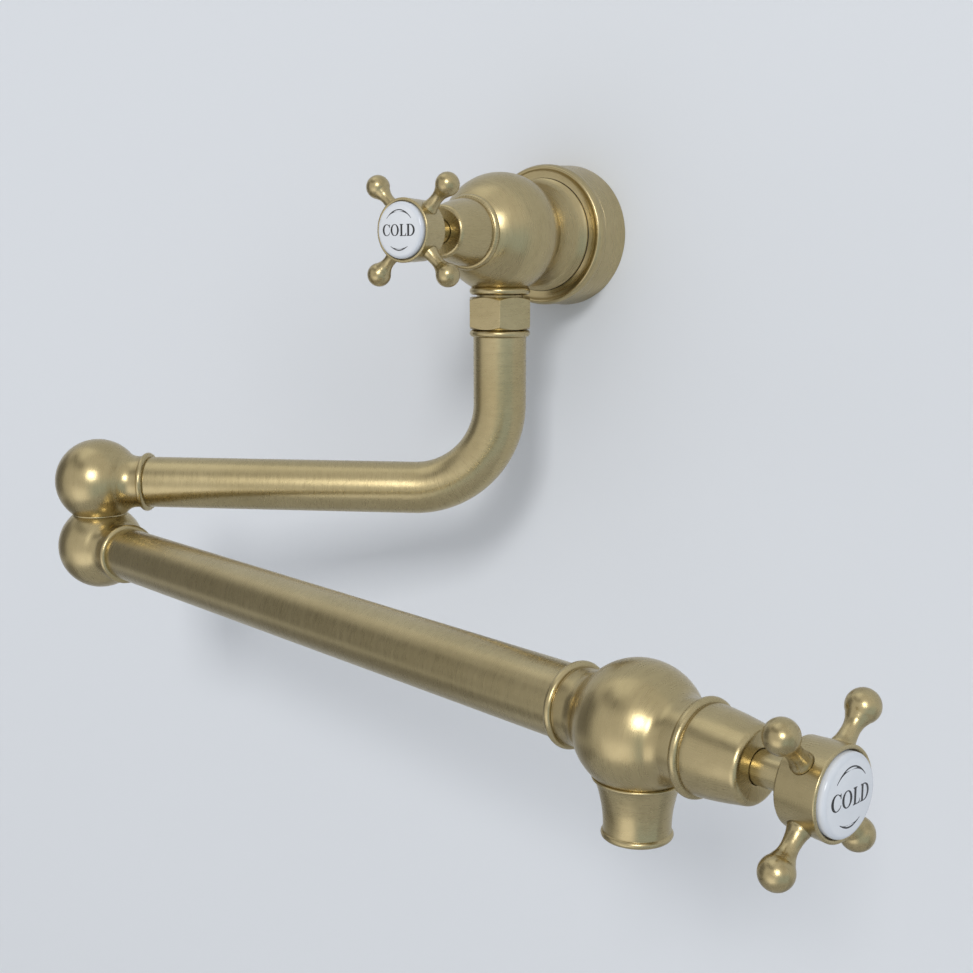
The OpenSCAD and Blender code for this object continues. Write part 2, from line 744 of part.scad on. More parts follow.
// Lever: a spigot, a flared root, a waist and a ball
module lever(i) {
    ball_a = -asin(lever_shoulder_share);
    shoulder_r = lever_ball_r * cos(ball_a);
    stretch = lever_ball_reach + lever_ball_r * sin(ball_a) - lever_seat;
    waist_i = 4;
    color(satin_brass) at_lever(i) turned(concat(
        [[0, lever_spigot_back], [lever_spigot_r, lever_spigot_back], [lever_spigot_r, lever_seat]],
        [for (k = [0:len(lever_along_shares) - 1])
            let (end_r = k < waist_i ? lever_root_r : shoulder_r)
            [lever_waist_r + lever_swell_shares[k] * (end_r - lever_waist_r),
                lever_seat + lever_along_shares[k] * stretch]],
        arc([0, lever_ball_reach], lever_ball_r, ball_a, 90, 2 * arc_steps)
    ));
}

module upper_lever(i) at_upper_valve() lever(i);

module lower_lever(i) at_lower_valve() lever(i);

// Slotted screw that holds a hub on its spindle
module hub_screw() {
    seat = hub_back_t + spindle_drive_length + hub_web_t;
    color(steel) difference() {
        union() {
            rod(screw_head_r, seat, seat + screw_head_t);
            rod(screw_r, seat - screw_length, seat + screw_head_t / 2);
        }
        translate([-screw_head_r - over, -screw_slot_w / 2, seat + screw_head_t - screw_slot_depth])
            cube([2 * (screw_head_r + over), screw_slot_w, screw_slot_depth + over]);
    }
}

module upper_hub_screw() at_upper_valve() hub_screw();

module lower_hub_screw() at_lower_valve() hub_screw();

// Brass disc behind an index button
module button_carrier()
    color(plain_brass) ring(hub_recess_r - fit, carrier_hole_r, hub_recess_t, hub_recess_t + carrier_t);

module upper_button_carrier() at_upper_valve() button_carrier();

module lower_button_carrier() at_lower_valve() button_carrier();

// White index button with a rounded edge and a low dome
module index_button() {
    face_t = hub_front_t + button_proud;
    dome_r = button_r - button_edge_r;
    color(ceramic) turned(concat(
        [[0, button_back_t], [button_r, button_back_t]],
        arc([dome_r, face_t - button_edge_r], button_edge_r, 0, 90, arc_steps),
        [for (i = [1:arc_steps]) let (s = 1 - i / arc_steps)
            [dome_r * s, face_t + button_dome * (1 - pow(s, 2))]]
    ));
}

module upper_index_button() at_upper_valve() index_button();

module lower_index_button() at_lower_valve() index_button();

// Union nut: a chamfered hexagon that draws the drop spigot up to the valve
module union_nut() {
    flat_r = nut_width / 2;
    corner_r = flat_r / cos(30);
    top_r = flat_r - nut_chamfer_inset;
    clear_r = corner_r + over;
    chamfer_h = (clear_r - top_r) * tan(nut_chamfer_angle);
    mouth_h = nut_mouth_chamfer + over;
    color(satin_brass) at_drop() difference() {
        intersection() {
            translate([0, 0, nut_top_z]) rotate([0, 0, -nut_turn])
                cylinder(r = corner_r, h = nut_height, $fn = 6);
            turned([
                [0, nut_top_z], [top_r, nut_top_z], [clear_r, nut_top_z + chamfer_h],
                [clear_r, nut_low_z - chamfer_h], [top_r, nut_low_z], [0, nut_low_z],
            ]);
        }
        rod(thread_r + fit, nut_top_z - over, nut_lip_z);
        rod(shaft_r + fit, nut_top_z, nut_low_z + over);
        translate([0, 0, nut_top_z - over])
            cylinder(r1 = thread_r + mouth_h, r2 = thread_r, h = mouth_h, $fn = smooth);
    }
}

// Thrust washer between the valve's outlet and the drop spigot
module union_washer()
    color(plastic) at_drop() ring(thread_r - fit, thrust_in_r, outlet_end_z, thrust_low_z);

// Drop spigot: the pivot that turns in the valve, its collar, the ring below the nut and a tube insert
module drop_spigot() {
    top_z = collar_top_z - drop_pivot_length;
    insert_low_z = drop_bead_low_z + insert_length;
    color(satin_brass) at_drop() difference() {
        turned(concat(
            [
                [drop_bore_r, top_z], [pivot_r - insert_chamfer, top_z], [pivot_r, top_z + insert_chamfer],
                [pivot_r, collar_top_z], [collar_r, collar_top_z], [collar_r, collar_low_z],
                [shaft_r, collar_low_z], [shaft_r, drop_bead_top_z],
            ],
            ring_arc((drop_bead_top_z + drop_bead_low_z) / 2, drop_bead_r, drop_bead_half),
            [
                [insert_r, drop_bead_low_z], [insert_r, insert_low_z - insert_chamfer],
                [insert_r - insert_chamfer, insert_low_z], [waterway_r, insert_low_z],
                [waterway_r, drop_bead_top_z], [drop_bore_r, drop_bead_top_z - waterway_r + drop_bore_r],
            ]
        ));
        for (i = [0, 1]) drop_groove(i);
    }
}

// Height of one of the two ring grooves of the drop spigot
function drop_ring_z(i) = collar_top_z - drop_ring_pitch * (i + 1) + pivot_groove_w / 2;

module drop_groove(i)
    ring(pivot_r + over, pivot_r - pivot_groove_depth,
        drop_ring_z(i) - pivot_groove_w / 2, drop_ring_z(i) + pivot_groove_w / 2);

// Rubber rings of the drop spigot
module pivot_o_ring(height)
    o_ring(pivot_r - pivot_groove_depth + pivot_ring_half + fit / 2, pivot_ring_half, height);

module drop_ring_high() at_drop() pivot_o_ring(drop_ring_z(1));

module drop_ring_low() at_drop() pivot_o_ring(drop_ring_z(0));

// Upper arm tube: straight down from the union, one bend, then straight to the swivel
module tube_path(r, run) {
    bend_z = -drop_height + bend_r;
    end_x = upper_arm_length - upper_ball_bead - bead_half;
    translate([0, 0, bend_z]) cylinder(r = r, h = -drop_bead_low_z - bend_z + run, $fn = smooth);
    translate([bend_r, 0, bend_z]) rotate([90, 0, 0]) rotate([0, 0, 180])
        rotate_extrude(angle = 90, $fn = smooth) translate([bend_r, 0]) circle(r = r, $fn = smooth);
    translate([bend_r, 0, -drop_height]) rotate([0, 90, 0])
        cylinder(r = r, h = end_x - bend_r + run, $fn = smooth);
}

module upper_arm_tube()
    color(satin_brass) translate([0, -valve_reach, 0]) rotate([0, 0, 180 + upper_arm_turn]) difference() {
        tube_path(tube_r, 0);
        tube_path(tube_in_r, over);
    }

// Lower arm tube
module lower_arm_tube()
    color(satin_brass) at_lower_swivel() rotate([0, 90, 0])
        ring(tube_r, tube_in_r, lower_ball_bead + bead_half,
            lower_arm_length - valve_ball_bead - bead_half);

// Half outline of a small ball with its neck, its ring and its insert, without a waterway
function small_ball_outline(ball_r, bead_at, a0) = concat(
    ball_to_neck(ball_r, neck_r, neck_fillet_r, a0),
    ring_arc(bead_at, bead_r, bead_half),
    [
        [insert_r, bead_at + bead_half],
        [insert_r, bead_at + bead_half + insert_length - insert_chamfer],
        [insert_r - insert_chamfer, bead_at + bead_half + insert_length],
    ]
);

// A swivel ball turned about its arm's axis, with the waterway from the tube to its centre
module swivel_ball(bead_at)
    rotate([0, 90, 0]) turned(concat(
        small_ball_outline(swivel_ball_r, bead_at, -90),
        [[waterway_r, bead_at + bead_half + insert_length], [waterway_r, 0], [0, 0]]
    ));

// Upper swivel ball, flat underneath, bored for the pivot
module upper_swivel_ball()
    color(satin_brass) at_upper_swivel() difference() {
        swivel_ball(upper_ball_bead);
        rod(swivel_ball_r, -swivel_ball_r - over, -ball_flat);
        rod(pivot_r + fit, -ball_flat - over, -pivot_floor + over);
        rod(pivot_cavity_r, -pivot_floor, pivot_cavity_top);
    }

// Thin washer that shows between the two balls
module swivel_washer()
    color(satin_brass) at_upper_swivel() ring(washer_r, washer_in_r, -ball_flat - washer_t, -ball_flat);

// Lower swivel ball, flat on top, bored for the foot of the pivot
module lower_swivel_ball()
    color(satin_brass) at_lower_swivel() difference() {
        swivel_ball(lower_ball_bead);
        rod(swivel_ball_r, ball_flat, swivel_ball_r + over);
        rod(pivot_r + fit, pivot_seat, ball_flat + over);
        rod(lower_cavity_r, lower_cavity_low, pivot_seat + over);
    }

// Height of the top of the pivot above the lower ball's centre, and of its two ring grooves
pivot_top_z = swivel_pitch + pivot_top;
clip_low_z = swivel_pitch - pivot_floor + end_gap;
function pivot_ring_z(i) = clip_low_z - pivot_ring_pitch * (i + 1) + pivot_groove_w / 2;

// Hollow pivot, fixed in the lower ball, that turns in the upper ball
module pivot()
    color(plain_brass) at_lower_swivel() difference() {
        turned([
            [pivot_bore_r, pivot_seat], [pivot_r, pivot_seat], [pivot_r, pivot_top_z - insert_chamfer],
            [pivot_r - insert_chamfer, pivot_top_z], [pivot_bore_r, pivot_top_z],
        ]);
        for (i = [0, 1])
            ring(pivot_r + over, pivot_r - pivot_groove_depth,
                pivot_ring_z(i) - pivot_groove_w / 2, pivot_ring_z(i) + pivot_groove_w / 2);
        ring(pivot_r + over, pivot_r - clip_groove_depth,
            clip_low_z - end_gap, clip_low_z + clip_t + end_gap);
    }

module pivot_ring_high() at_lower_swivel() pivot_o_ring(pivot_ring_z(0));

module pivot_ring_low() at_lower_swivel() pivot_o_ring(pivot_ring_z(1));

// Spring clip that keeps the pivot in the upper ball
module pivot_clip()
    color(steel) at_lower_swivel() difference() {
        ring(clip_r, pivot_r - clip_groove_depth + fit, clip_low_z, clip_low_z + clip_t);
        translate([0, -clip_gap / 2, clip_low_z - over]) cube([clip_r + over, clip_gap, clip_t + 2 * over]);
    }

// Body of the lower valve: tube insert, ring, neck, ball and front neck in one casting
module lower_valve_body() {
    ball_r = lower_ball_d / 2;
    shoulder_t = lower_foot_t - lower_foot_half - end_gap;
    insert_back_t = -valve_ball_bead - bead_half - insert_length;
    color(satin_brass) difference() {
        union() {
            difference() {
                at_lower_valve() turned(concat(
                    [[0, insert_back_t]],
                    flipped(small_ball_outline(ball_r, valve_ball_bead, 0)),
                    ball_to_neck(ball_r, lower_shoulder_r, lower_hollow_r, 0),
                    [
                        [lower_shoulder_r, shoulder_t], [front_neck_r, shoulder_t],
                        [front_neck_r, chamber_front_t], [0, chamber_front_t],
                    ]
                ));
                at_spout() rod(ball_r, nozzle_top, ball_r + over);
            }
            at_spout() rod(spout_spigot_r, ball_r / 2, nozzle_top + spout_spigot_length);
        }
        at_lower_valve() valve_chamber(insert_back_t - over);
        at_spout() rod(spout_bore_r, 0, nozzle_top + spout_spigot_length + over);
    }
}

// Spout nozzle: a thin rim, a hollow taper and a rounded lip
module spout_nozzle() {
    lip_middle_z = nozzle_low - nozzle_lip_half;
    taper_top_z = nozzle_top + nozzle_rim_t;
    taper_length = lip_middle_z - nozzle_lip_half - taper_top_z;
    socket_low_z = nozzle_top + spout_spigot_length + nozzle_socket_gap;
    color(satin_brass) at_spout() turned(concat(
        [[spout_spigot_r + fit, nozzle_top], [nozzle_rim_r - nozzle_rim_t / 4, nozzle_top],
            [nozzle_rim_r, nozzle_top + nozzle_rim_t / 4], [nozzle_rim_r, taper_top_z - nozzle_rim_t / 4],
            [nozzle_rim_r - nozzle_rim_t / 4, taper_top_z]],
        [for (k = [0:len(nozzle_along_shares) - 1])
            [nozzle_waist_r + nozzle_swell_shares[k] * (nozzle_rim_r - nozzle_waist_r),
                taper_top_z + nozzle_along_shares[k] * taper_length]],
        arc([nozzle_lip_r - nozzle_lip_half, lip_middle_z], nozzle_lip_half, -72, 90, arc_steps),
        [[nozzle_mouth_r, nozzle_low], [nozzle_mouth_r, socket_low_z], [spout_spigot_r + fit, socket_low_z]]
    ));
}

aerator_low = nozzle_low - aerator_recess;
aerator_top = nozzle_top + spout_spigot_length + nozzle_socket_gap + aerator_washer_t;

// Rubber washer between the spigot and the aerator
module aerator_washer()
    color(rubber) at_spout() ring(aerator_r, aerator_bore_r, aerator_top - aerator_washer_t, aerator_top);

// Aerator body with a ledge for its screen
module aerator_body()
    color(plastic) at_spout() turned([
        [aerator_bore_r, aerator_top], [aerator_r, aerator_top], [aerator_r, aerator_low],
        [aerator_ledge_r, aerator_low], [aerator_ledge_r, aerator_low - screen_t],
        [aerator_bore_r, aerator_low - screen_t],
    ]);

// Perforated screen at the spout's mouth
module aerator_screen()
    color(steel) at_spout() difference() {
        rod(aerator_ledge_r - fit, aerator_low - screen_t, aerator_low);
        rod(screen_hole_r, aerator_low - screen_t - over, aerator_low + over);
        for (k = [1:screen_rings], i = [0:6 * k - 1])
            rotate([0, 0, i * 60 / k]) translate([k * screen_pitch, 0, 0])
                rod(screen_hole_r, aerator_low - screen_t - over, aerator_low + over);
    }

wall_flange();
flange_ring();
mounting_plate();
inlet_tail();
tail_ring();
upper_valve_body();
upper_bonnet();
upper_cartridge();
upper_cartridge_seal();
upper_fixed_disc();
union_nut();
union_washer();
upper_arm_tube();
drop_spigot();
drop_ring_high();
drop_ring_low();
upper_swivel_ball();
swivel_washer();
lower_swivel_ball();
pivot();
pivot_ring_high();
pivot_ring_low();
pivot_clip();
lower_arm_tube();
lower_valve_body();
lower_bonnet();
lower_cartridge();
lower_cartridge_seal();
lower_fixed_disc();
spout_nozzle();
aerator_body();
aerator_screen();
aerator_washer();
upper_spindle();
upper_moving_disc();
upper_spindle_ring();
upper_hub();
upper_lever(0);  // upper_lever_1
upper_lever(1);  // upper_lever_2
upper_lever(2);  // upper_lever_3
upper_lever(3);  // upper_lever_4
upper_hub_screw();
upper_button_carrier();
upper_index_button();
lower_spindle();
lower_moving_disc();
lower_spindle_ring();
lower_hub();
lower_lever(0);  // lower_lever_1
lower_lever(1);  // lower_lever_2
lower_lever(2);  // lower_lever_3
lower_lever(3);  // lower_lever_4
lower_hub_screw();
lower_button_carrier();
lower_index_button();
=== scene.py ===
import json
import math

import bmesh
import bpy
import numpy as np
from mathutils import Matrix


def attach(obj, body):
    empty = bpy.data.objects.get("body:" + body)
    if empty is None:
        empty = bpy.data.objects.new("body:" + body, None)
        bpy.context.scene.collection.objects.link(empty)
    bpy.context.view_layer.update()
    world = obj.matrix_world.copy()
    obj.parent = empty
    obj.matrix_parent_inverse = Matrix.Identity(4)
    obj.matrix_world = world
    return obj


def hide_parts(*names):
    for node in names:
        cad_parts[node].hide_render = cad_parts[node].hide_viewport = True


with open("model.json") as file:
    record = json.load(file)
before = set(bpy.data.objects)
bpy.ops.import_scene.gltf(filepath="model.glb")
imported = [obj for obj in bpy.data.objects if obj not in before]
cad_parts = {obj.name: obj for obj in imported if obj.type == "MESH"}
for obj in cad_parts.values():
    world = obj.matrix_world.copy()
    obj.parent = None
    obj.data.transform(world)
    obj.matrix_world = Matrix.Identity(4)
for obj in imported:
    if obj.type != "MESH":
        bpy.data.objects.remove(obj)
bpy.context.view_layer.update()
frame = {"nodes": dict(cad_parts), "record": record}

# The cover flange is a deep cup of brass, spun and turned, that slides on the valve's skirt and hides the
# plate and the screws. A raised band runs round its mouth, its front edge is rounded and its face dished.
# Sizes are in millimetres. A turned piece is drawn as radius and distance along its own axis.
MM = 0.001
wall_at = -51.0
flange_radius, flange_inside = 30.2, 28.9
groove_radius, groove_back, groove_deep, groove_wide = 28.95, -36.3, 0.5, 0.18
band_crest, band_back_round, band_back, band_bow, band_middle = 29.8, 0.9, -35.2, 4.4, -33.89
edge_middle, edge_round = (28.1, -32.0), 1.1
dish_hole, dish_at, lip_thick = 23.93, -30.9, 1.3


def arc(centre, radius, start, end, steps=12):
    """Points on a circle about centre, from the angle start to the angle end in degrees."""
    a = np.radians(np.linspace(start, end, steps + 1))
    return np.column_stack([centre[0] + radius * np.cos(a), centre[1] + radius * np.sin(a)])


def eased(corners, ease=0.2, steps=4, hold=0.12):
    """Breaks the corners of a closed outline. Each corner becomes an arc of radius ease that touches both
    of its sides. A point is set just beyond each end of the arc, so that the flats beside it shine flat."""
    corners = np.asarray(corners, float)
    done = []
    for a, b, c in zip(np.roll(corners, 1, 0), corners, np.roll(corners, -1, 0)):
        long_a, long_c = np.hypot(*(a - b)), np.hypot(*(c - b))
        if min(long_a, long_c) < 1e-7:
            continue
        u, v = (a - b) / long_a, (c - b) / long_c
        half = math.acos(np.clip(-(u @ v), -1, 1)) / 2
        if half < math.radians(13) or b[0] < 1e-9:
            done.append([b])
            continue
        reach = min(ease * math.tan(half), 0.4 * min(long_a, long_c))
        middle = b + (u + v) / np.hypot(*(u + v)) * reach / math.sin(half)
        first, last = b + u * reach - middle, b + v * reach - middle
        start = math.degrees(math.atan2(first[1], first[0]))
        turn = (math.degrees(math.atan2(last[1], last[0])) - start + 180) % 360 - 180
        done.append([b + u * (reach + min(hold, 0.25 * (long_a - reach)))])
        done.append(arc(middle, np.hypot(*first), start, start + turn, steps))
        done.append([b + v * (reach + min(hold, 0.25 * (long_c - reach)))])
    return np.vstack(done)


def stand(origin, axis, up=(0, 0, 1)):
    """The place of a turned piece as a matrix: its own Z runs along its axis and its own Y points up."""
    z = np.array(axis, float) / np.linalg.norm(axis)
    x = np.cross(up, z)
    x /= np.linalg.norm(x)
    m = np.eye(4)
    m[:3, 0], m[:3, 1], m[:3, 2], m[:3, 3] = x, np.cross(z, x), z, origin
    return m


def placed(name, data):
    """An object in the scene, made of a mesh, a drawing, a lamp or a camera."""
    made = bpy.data.objects.new(name, data)
    bpy.context.scene.collection.objects.link(made)
    return made


def shine(piece, crease=32):
    """Shades a piece smoothly, but for the edges that are sharper than crease degrees."""
    piece.data.shade_smooth()
    piece.data.set_sharp_from_angle(angle=math.radians(crease))


def shell(name, grid, share_round, run, edge, place):
    """A skin over a grid of points: four neighbours make a face, doubled points at poles and seams are
    welded, and the faces are turned outwards. The map named turning holds the share of a turn and the run
    along the outline in metres. The map named edges is above a half at outer edges, below in hollows."""
    rows, cols = grid.shape[:2]
    points = (grid.reshape(-1, 3) @ place[:3, :3].T + place[:3, 3]) * MM
    at = np.arange(rows * cols).reshape(rows, cols)
    faces = np.stack([at[:-1, :-1], at[:-1, 1:], at[1:, 1:], at[1:, :-1]], -1).reshape(-1, 4)
    mesh = bpy.data.meshes.new(name)
    mesh.from_pydata(points.tolist(), [], faces.tolist())
    corner = faces.ravel()
    turns = np.broadcast_to(share_round, (rows, cols)).ravel()
    runs = np.repeat(np.asarray(run) * MM, cols)
    for label, values in (("turning", turns), ("edges", np.repeat(edge, cols))):
        pairs = np.column_stack([values[corner], runs[corner]])
        layer = mesh.uv_layers.new(name=label)
        layer.data.foreach_set("uv", pairs.astype(np.float32).ravel())
    work = bmesh.new()
    work.from_mesh(mesh)
    bmesh.ops.remove_doubles(work, verts=work.verts, dist=2e-7)
    bmesh.ops.recalc_face_normals(work, faces=work.faces)
    work.to_mesh(mesh)
    work.free()
    piece = placed(name, mesh)
    shine(piece)
    return piece


def bends(outline, blur=0.35):
    """How strongly an outline bends outwards at each point: the turn at each point, spread along the
    outline by a bell curve of width blur, on a scale on which a half is straight and one a sharp edge."""
    step = np.hypot(*(outline - np.roll(outline, 1, 0)).T)
    run = np.cumsum(step)
    a, b = outline - np.roll(outline, 1, 0), np.roll(outline, -1, 0) - outline
    turn = np.arctan2(a[:, 0] * b[:, 1] - a[:, 1] * b[:, 0], (a * b).sum(1))
    turn *= np.sign(turn[np.abs(turn) < 3].sum())
    near = np.exp(-0.5 * ((run[:, None] - run[None]) / blur) ** 2)
    return np.clip(0.5 + 0.22 * (near @ turn) / (blur * 2.5), 0, 1)


def turned_piece(name, outline, place, turns=160):
    """A piece turned on a lathe. The outline's point at radius r and distance t becomes a ring of points
    r cos a, r sin a, t for even angles a. An outline that keeps off the axis is closed on itself."""
    edge = bends(outline)
    if outline[:, 0].min() > 1e-9:
        outline, edge = np.vstack([outline, outline[:1]]), np.append(edge, edge[0])
    share = np.linspace(0, 1, turns + 1)
    r, t = outline[:, :1], outline[:, 1:]
    a = 2 * math.pi * share
    grid = np.stack([r * np.cos(a), r * np.sin(a), np.broadcast_to(t, (len(t), len(a)))], -1)
    run = np.concatenate([[0], np.cumsum(np.hypot(*np.diff(outline, axis=0).T))])
    return shell(name, grid, share, run, edge, place)


def node(tree, kind, inputs=None, **settings):
    """Adds a shader node. Each input is a plain value or the output that feeds it."""
    made = tree.nodes.new("ShaderNode" + kind)
    for key, value in settings.items():
        setattr(made, key, value)
    for key, value in (inputs or {}).items():
        if isinstance(value, bpy.types.NodeSocket):
            tree.links.new(value, made.inputs[key])
        else:
            made.inputs[key].default_value = value
    return made


def sums(tree, operation, *values):
    """One step of arithmetic on numbers in a material."""
    return node(tree, "Math", dict(enumerate(values)), operation=operation).outputs[0]


def noise(tree, where, scale, detail, rough=0.5):
    """The value of a noise from 0 to 1, with scale lumps to a metre."""
    looks = {"Vector": where, "Scale": scale, "Detail": detail, "Roughness": rough}
    return node(tree, "TexNoise", looks).outputs[0]


def remap(tree, value, low, high, start=0.0, end=1.0, ease="LINEAR"):
    """Carries the stretch from low to high over to start and end, and holds those beyond it."""
    limits = {0: value, 1: low, 2: high, 3: start, 4: end}
    return node(tree, "MapRange", limits, interpolation_type=ease).outputs[0]


def blend(tree, share, first, second, how="MIX"):
    """Goes from the first colour to the second by a share. Each is a plain colour or an output."""
    inputs = {0: share}
    for at, tone in ((6, first), (7, second)):
        inputs[at] = (*tone, 1) if isinstance(tone, tuple) else tone
    return node(tree, "Mix", inputs, data_type="RGBA", blend_type=how).outputs[2]


def edge_share(tree):
    """The outer edges and hollows of a turned piece, as its own map holds them."""
    return node(tree, "SeparateXYZ", {0: node(tree, "UVMap", uv_map="edges").outputs[0]}).outputs[0]


def blank(name):
    """A new material with its shader, and the place of a point on the part."""
    made = bpy.data.materials.new(name)
    made.use_nodes = True
    tree = made.node_tree
    return made, tree, tree.nodes["Principled BSDF"], node(tree, "TexCoord").outputs["Object"]


def feed(tree, shader, tone, rough, height, strength, depth):
    """Feeds a shader its colour, its roughness and a bump, whose depth is in metres."""
    bump = node(tree, "Bump", {"Height": height, "Strength": strength, "Distance": depth}).outputs[0]
    for key, value in {"Base Color": tone, "Roughness": rough, "Normal": bump}.items():
        tree.links.new(value, shader.inputs[key])


def satin_brass(name, long_marks, short_marks, wave_scale, wave_depth, stain):
    """Brushed brass, lightly aged. Fine marks follow the piece: noise that is stretched one way drives
    bump, roughness and a little colour. Slight waves of the hand and cloudy age marks go by place, spots
    are stained and outer edges are rubbed lighter. Hollows are darkened toward umber, partly as patina and
    partly as painted shade in the creases."""
    light, dark = (0.50, 0.412, 0.228), (0.44, 0.357, 0.189)
    # The umber tone serves the stained spots and the hollows, where it is partly painted shade.
    rubbed_tone, brown_stain_and_shade = (0.62, 0.53, 0.31), (0.24, 0.175, 0.075)
    made, tree, shader, place = blank(name)
    parts = node(tree, "SeparateXYZ", {0: node(tree, "UVMap", uv_map="turning").outputs[0]})
    angle = sums(tree, "MULTIPLY", parts.outputs[0], 2 * math.pi)
    across, side = sums(tree, "COSINE", angle), sums(tree, "SINE", angle)

    def streaks(length, pitch, detail):
        """Marks about 1/length of a turn long and pitch metres apart."""
        spot = node(tree, "CombineXYZ", {
            0: sums(tree, "MULTIPLY", across, length),
            1: sums(tree, "MULTIPLY", side, length),
            2: sums(tree, "DIVIDE", parts.outputs[1], pitch),
        })
        return noise(tree, spot.outputs[0], 1.0, detail, 0.65)

    coarse, fine = streaks(*long_marks), streaks(*short_marks)
    mottle = noise(tree, place, 320.0, 3.0)
    waves = noise(tree, place, wave_scale, 1.0)
    cloud = noise(tree, place, 38.0, 5.0, 0.6)
    grain = noise(tree, place, 900.0, 2.0)
    edge = edge_share(tree)
    tone = blend(tree, remap(tree, cloud, 0.32, 0.7), dark, light)
    tone = blend(tree, remap(tree, edge, 0.56, 0.95, 0.0, 0.3), tone, rubbed_tone)
    # Painted shade: hollows are darkened toward umber, partly patina and partly the shade that falls in
    # creases.
    tone = blend(tree, remap(tree, edge, 0.46, 0.15, 0.0, 0.38), tone, brown_stain_and_shade)
    tone = blend(tree, remap(tree, mottle, 0.52, 0.68, 0.0, stain), tone, brown_stain_and_shade)
    tone = blend(tree, 1.0, tone, remap(tree, coarse, 0.3, 0.7, 0.965, 1.03), "MULTIPLY")
    tone = blend(tree, 1.0, tone, remap(tree, mottle, 0.3, 0.7, 1.02, 0.98), "MULTIPLY")
    rough = sums(tree, "MULTIPLY_ADD", coarse, 0.12, 0.185)
    rough = sums(tree, "MULTIPLY_ADD", fine, 0.08, rough)
    height = sums(tree, "MULTIPLY_ADD", coarse, 0.45, sums(tree, "MULTIPLY", grain, 0.25))
    height = sums(tree, "MULTIPLY_ADD", fine, 0.5, height)
    height = sums(tree, "MULTIPLY_ADD", waves, wave_depth, height)
    feed(tree, shader, tone, rough, height, 0.1, 0.00006)
    shader.inputs["Metallic"].default_value = 1.0
    return made


def dress(piece, finish, slot, body, *nodes):
    """Gives a piece its finish, the body that it moves with and the solids that it stands for."""
    piece.data.materials.clear()
    piece.data.materials.append(finish)
    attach(piece, body)
    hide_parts(*nodes)


brushed = satin_brass("satin_brass", (1.6, 0.0011, 2.0), (4.0, 0.00028, 1.0), 600.0, 2.6, 0.04)
upper_valve = stand((0, wall_at, 0), (0, -1, 0))
flange_outline = np.vstack([
    [[flange_inside, wall_at], [flange_radius, wall_at]],
    [[groove_radius + groove_deep, groove_back], [groove_radius, groove_back + groove_wide]],
    arc((band_crest - band_back_round, band_back), band_back_round, -75, 0, 10),
    arc((band_crest - band_bow, band_middle), band_bow, 0, 35, 12),
    arc(edge_middle, edge_round, 35, 128, 14),
    [[27.0, dish_at - 0.42], [26.3, dish_at - 0.46], [25.4, dish_at - 0.34], [dish_hole, dish_at]],
    [[dish_hole, dish_at - lip_thick], [26.63, -32.65], [28.05, -34.99]],
])
flange = turned_piece("cover_flange", eased(flange_outline, 0.12), upper_valve, 192)
dress(flange, brushed, "satin_brass", "wall_mount", "wall_flange")

# The inlet tail is a turned brass pipe with a half inch thread, screwed into the supply behind the
# wall, and a sleeve with a rubber ring that enters the valve. The thread is a helix: its depth is a
# triangle wave of the distance less the share of a turn.
thread_pitch, thread_depth, tail_radius, tail_end = 1.814, 1.1, 10.48, -69.0
thread_top, run_out = wall_at - 1.0, 1.4
tail_collar, tail_sleeve, tail_nose, tail_mouth, waterway = 10.2, 9.35, 8.6, 8.2, 6.5
tail_groove, groove_start, groove_end = 7.7, -43.5, -41.5
casting_back, inlet_seat = -47.0, -38.0


def machined_brass():
    """Bare brass off the machine, with tight tool marks and dull spots."""
    made, tree, shader, place = blank("machined_brass")
    dull = noise(tree, place, 120.0, 4.0)
    tone = blend(tree, dull, (0.60, 0.44, 0.19), (0.74, 0.58, 0.29))
    rough = remap(tree, dull, 0.3, 0.7, 0.22, 0.4)
    feed(tree, shader, tone, rough, noise(tree, place, 2600.0, 1.0), 0.15, 0.00004)
    shader.inputs["Metallic"].default_value = 1.0
    return made


def groove(radius, floor, start, end):
    """Outline of a square groove for a ring, from start to end."""
    return [[radius, start], [floor, start], [floor, end], [radius, end]]


def closed_skin(name, outer, outer_at, inner, place):
    """A round skin whose outside is given point by point. Each row of outer holds the radii at even
    shares of a turn, at its distance in outer_at. The plain outline inner leads back to the first row."""
    share = np.linspace(0, 1, outer.shape[1])
    a = 2 * math.pi * share
    radii = np.vstack([outer, np.repeat(inner[:, :1], len(share), 1), outer[:1]])
    height = np.concatenate([outer_at, inner[:, 1], outer_at[:1]])
    flat = np.repeat(height[:, None], len(share), 1)
    grid = np.stack([radii * np.cos(a), radii * np.sin(a), flat], -1)
    return shell(name, grid, share, height, np.full(len(height), 0.5), place)


bare_brass = machined_brass()
share = np.linspace(0, 1, 97)
along = np.linspace(tail_end, thread_top, 150)
wave = np.abs(((along[:, None] / thread_pitch - share[None]) % 1) * 2 - 1)
fade = np.clip(np.minimum(along - tail_end + 0.4, thread_top + 1 - along) / run_out, 0, 1)[:, None]
crest = tail_radius - thread_depth * np.clip(wave * 1.25 - 0.12, 0, 1) * fade - 0.5 * (1 - fade) ** 2
tail_back = np.vstack([
    [[tail_collar, thread_top + 0.1], [tail_collar, casting_back], [tail_sleeve, casting_back]],
    groove(tail_sleeve, tail_groove, groove_start, groove_end),
    [[tail_sleeve, inlet_seat], [tail_nose, inlet_seat], [waterway, inlet_seat]],
    [[waterway, tail_end], [tail_mouth, tail_end]],
])
tail = closed_skin("inlet_tail_threaded", crest, along, tail_back, upper_valve)
dress(tail, bare_brass, "plain_brass", "wall_mount", "inlet_tail")

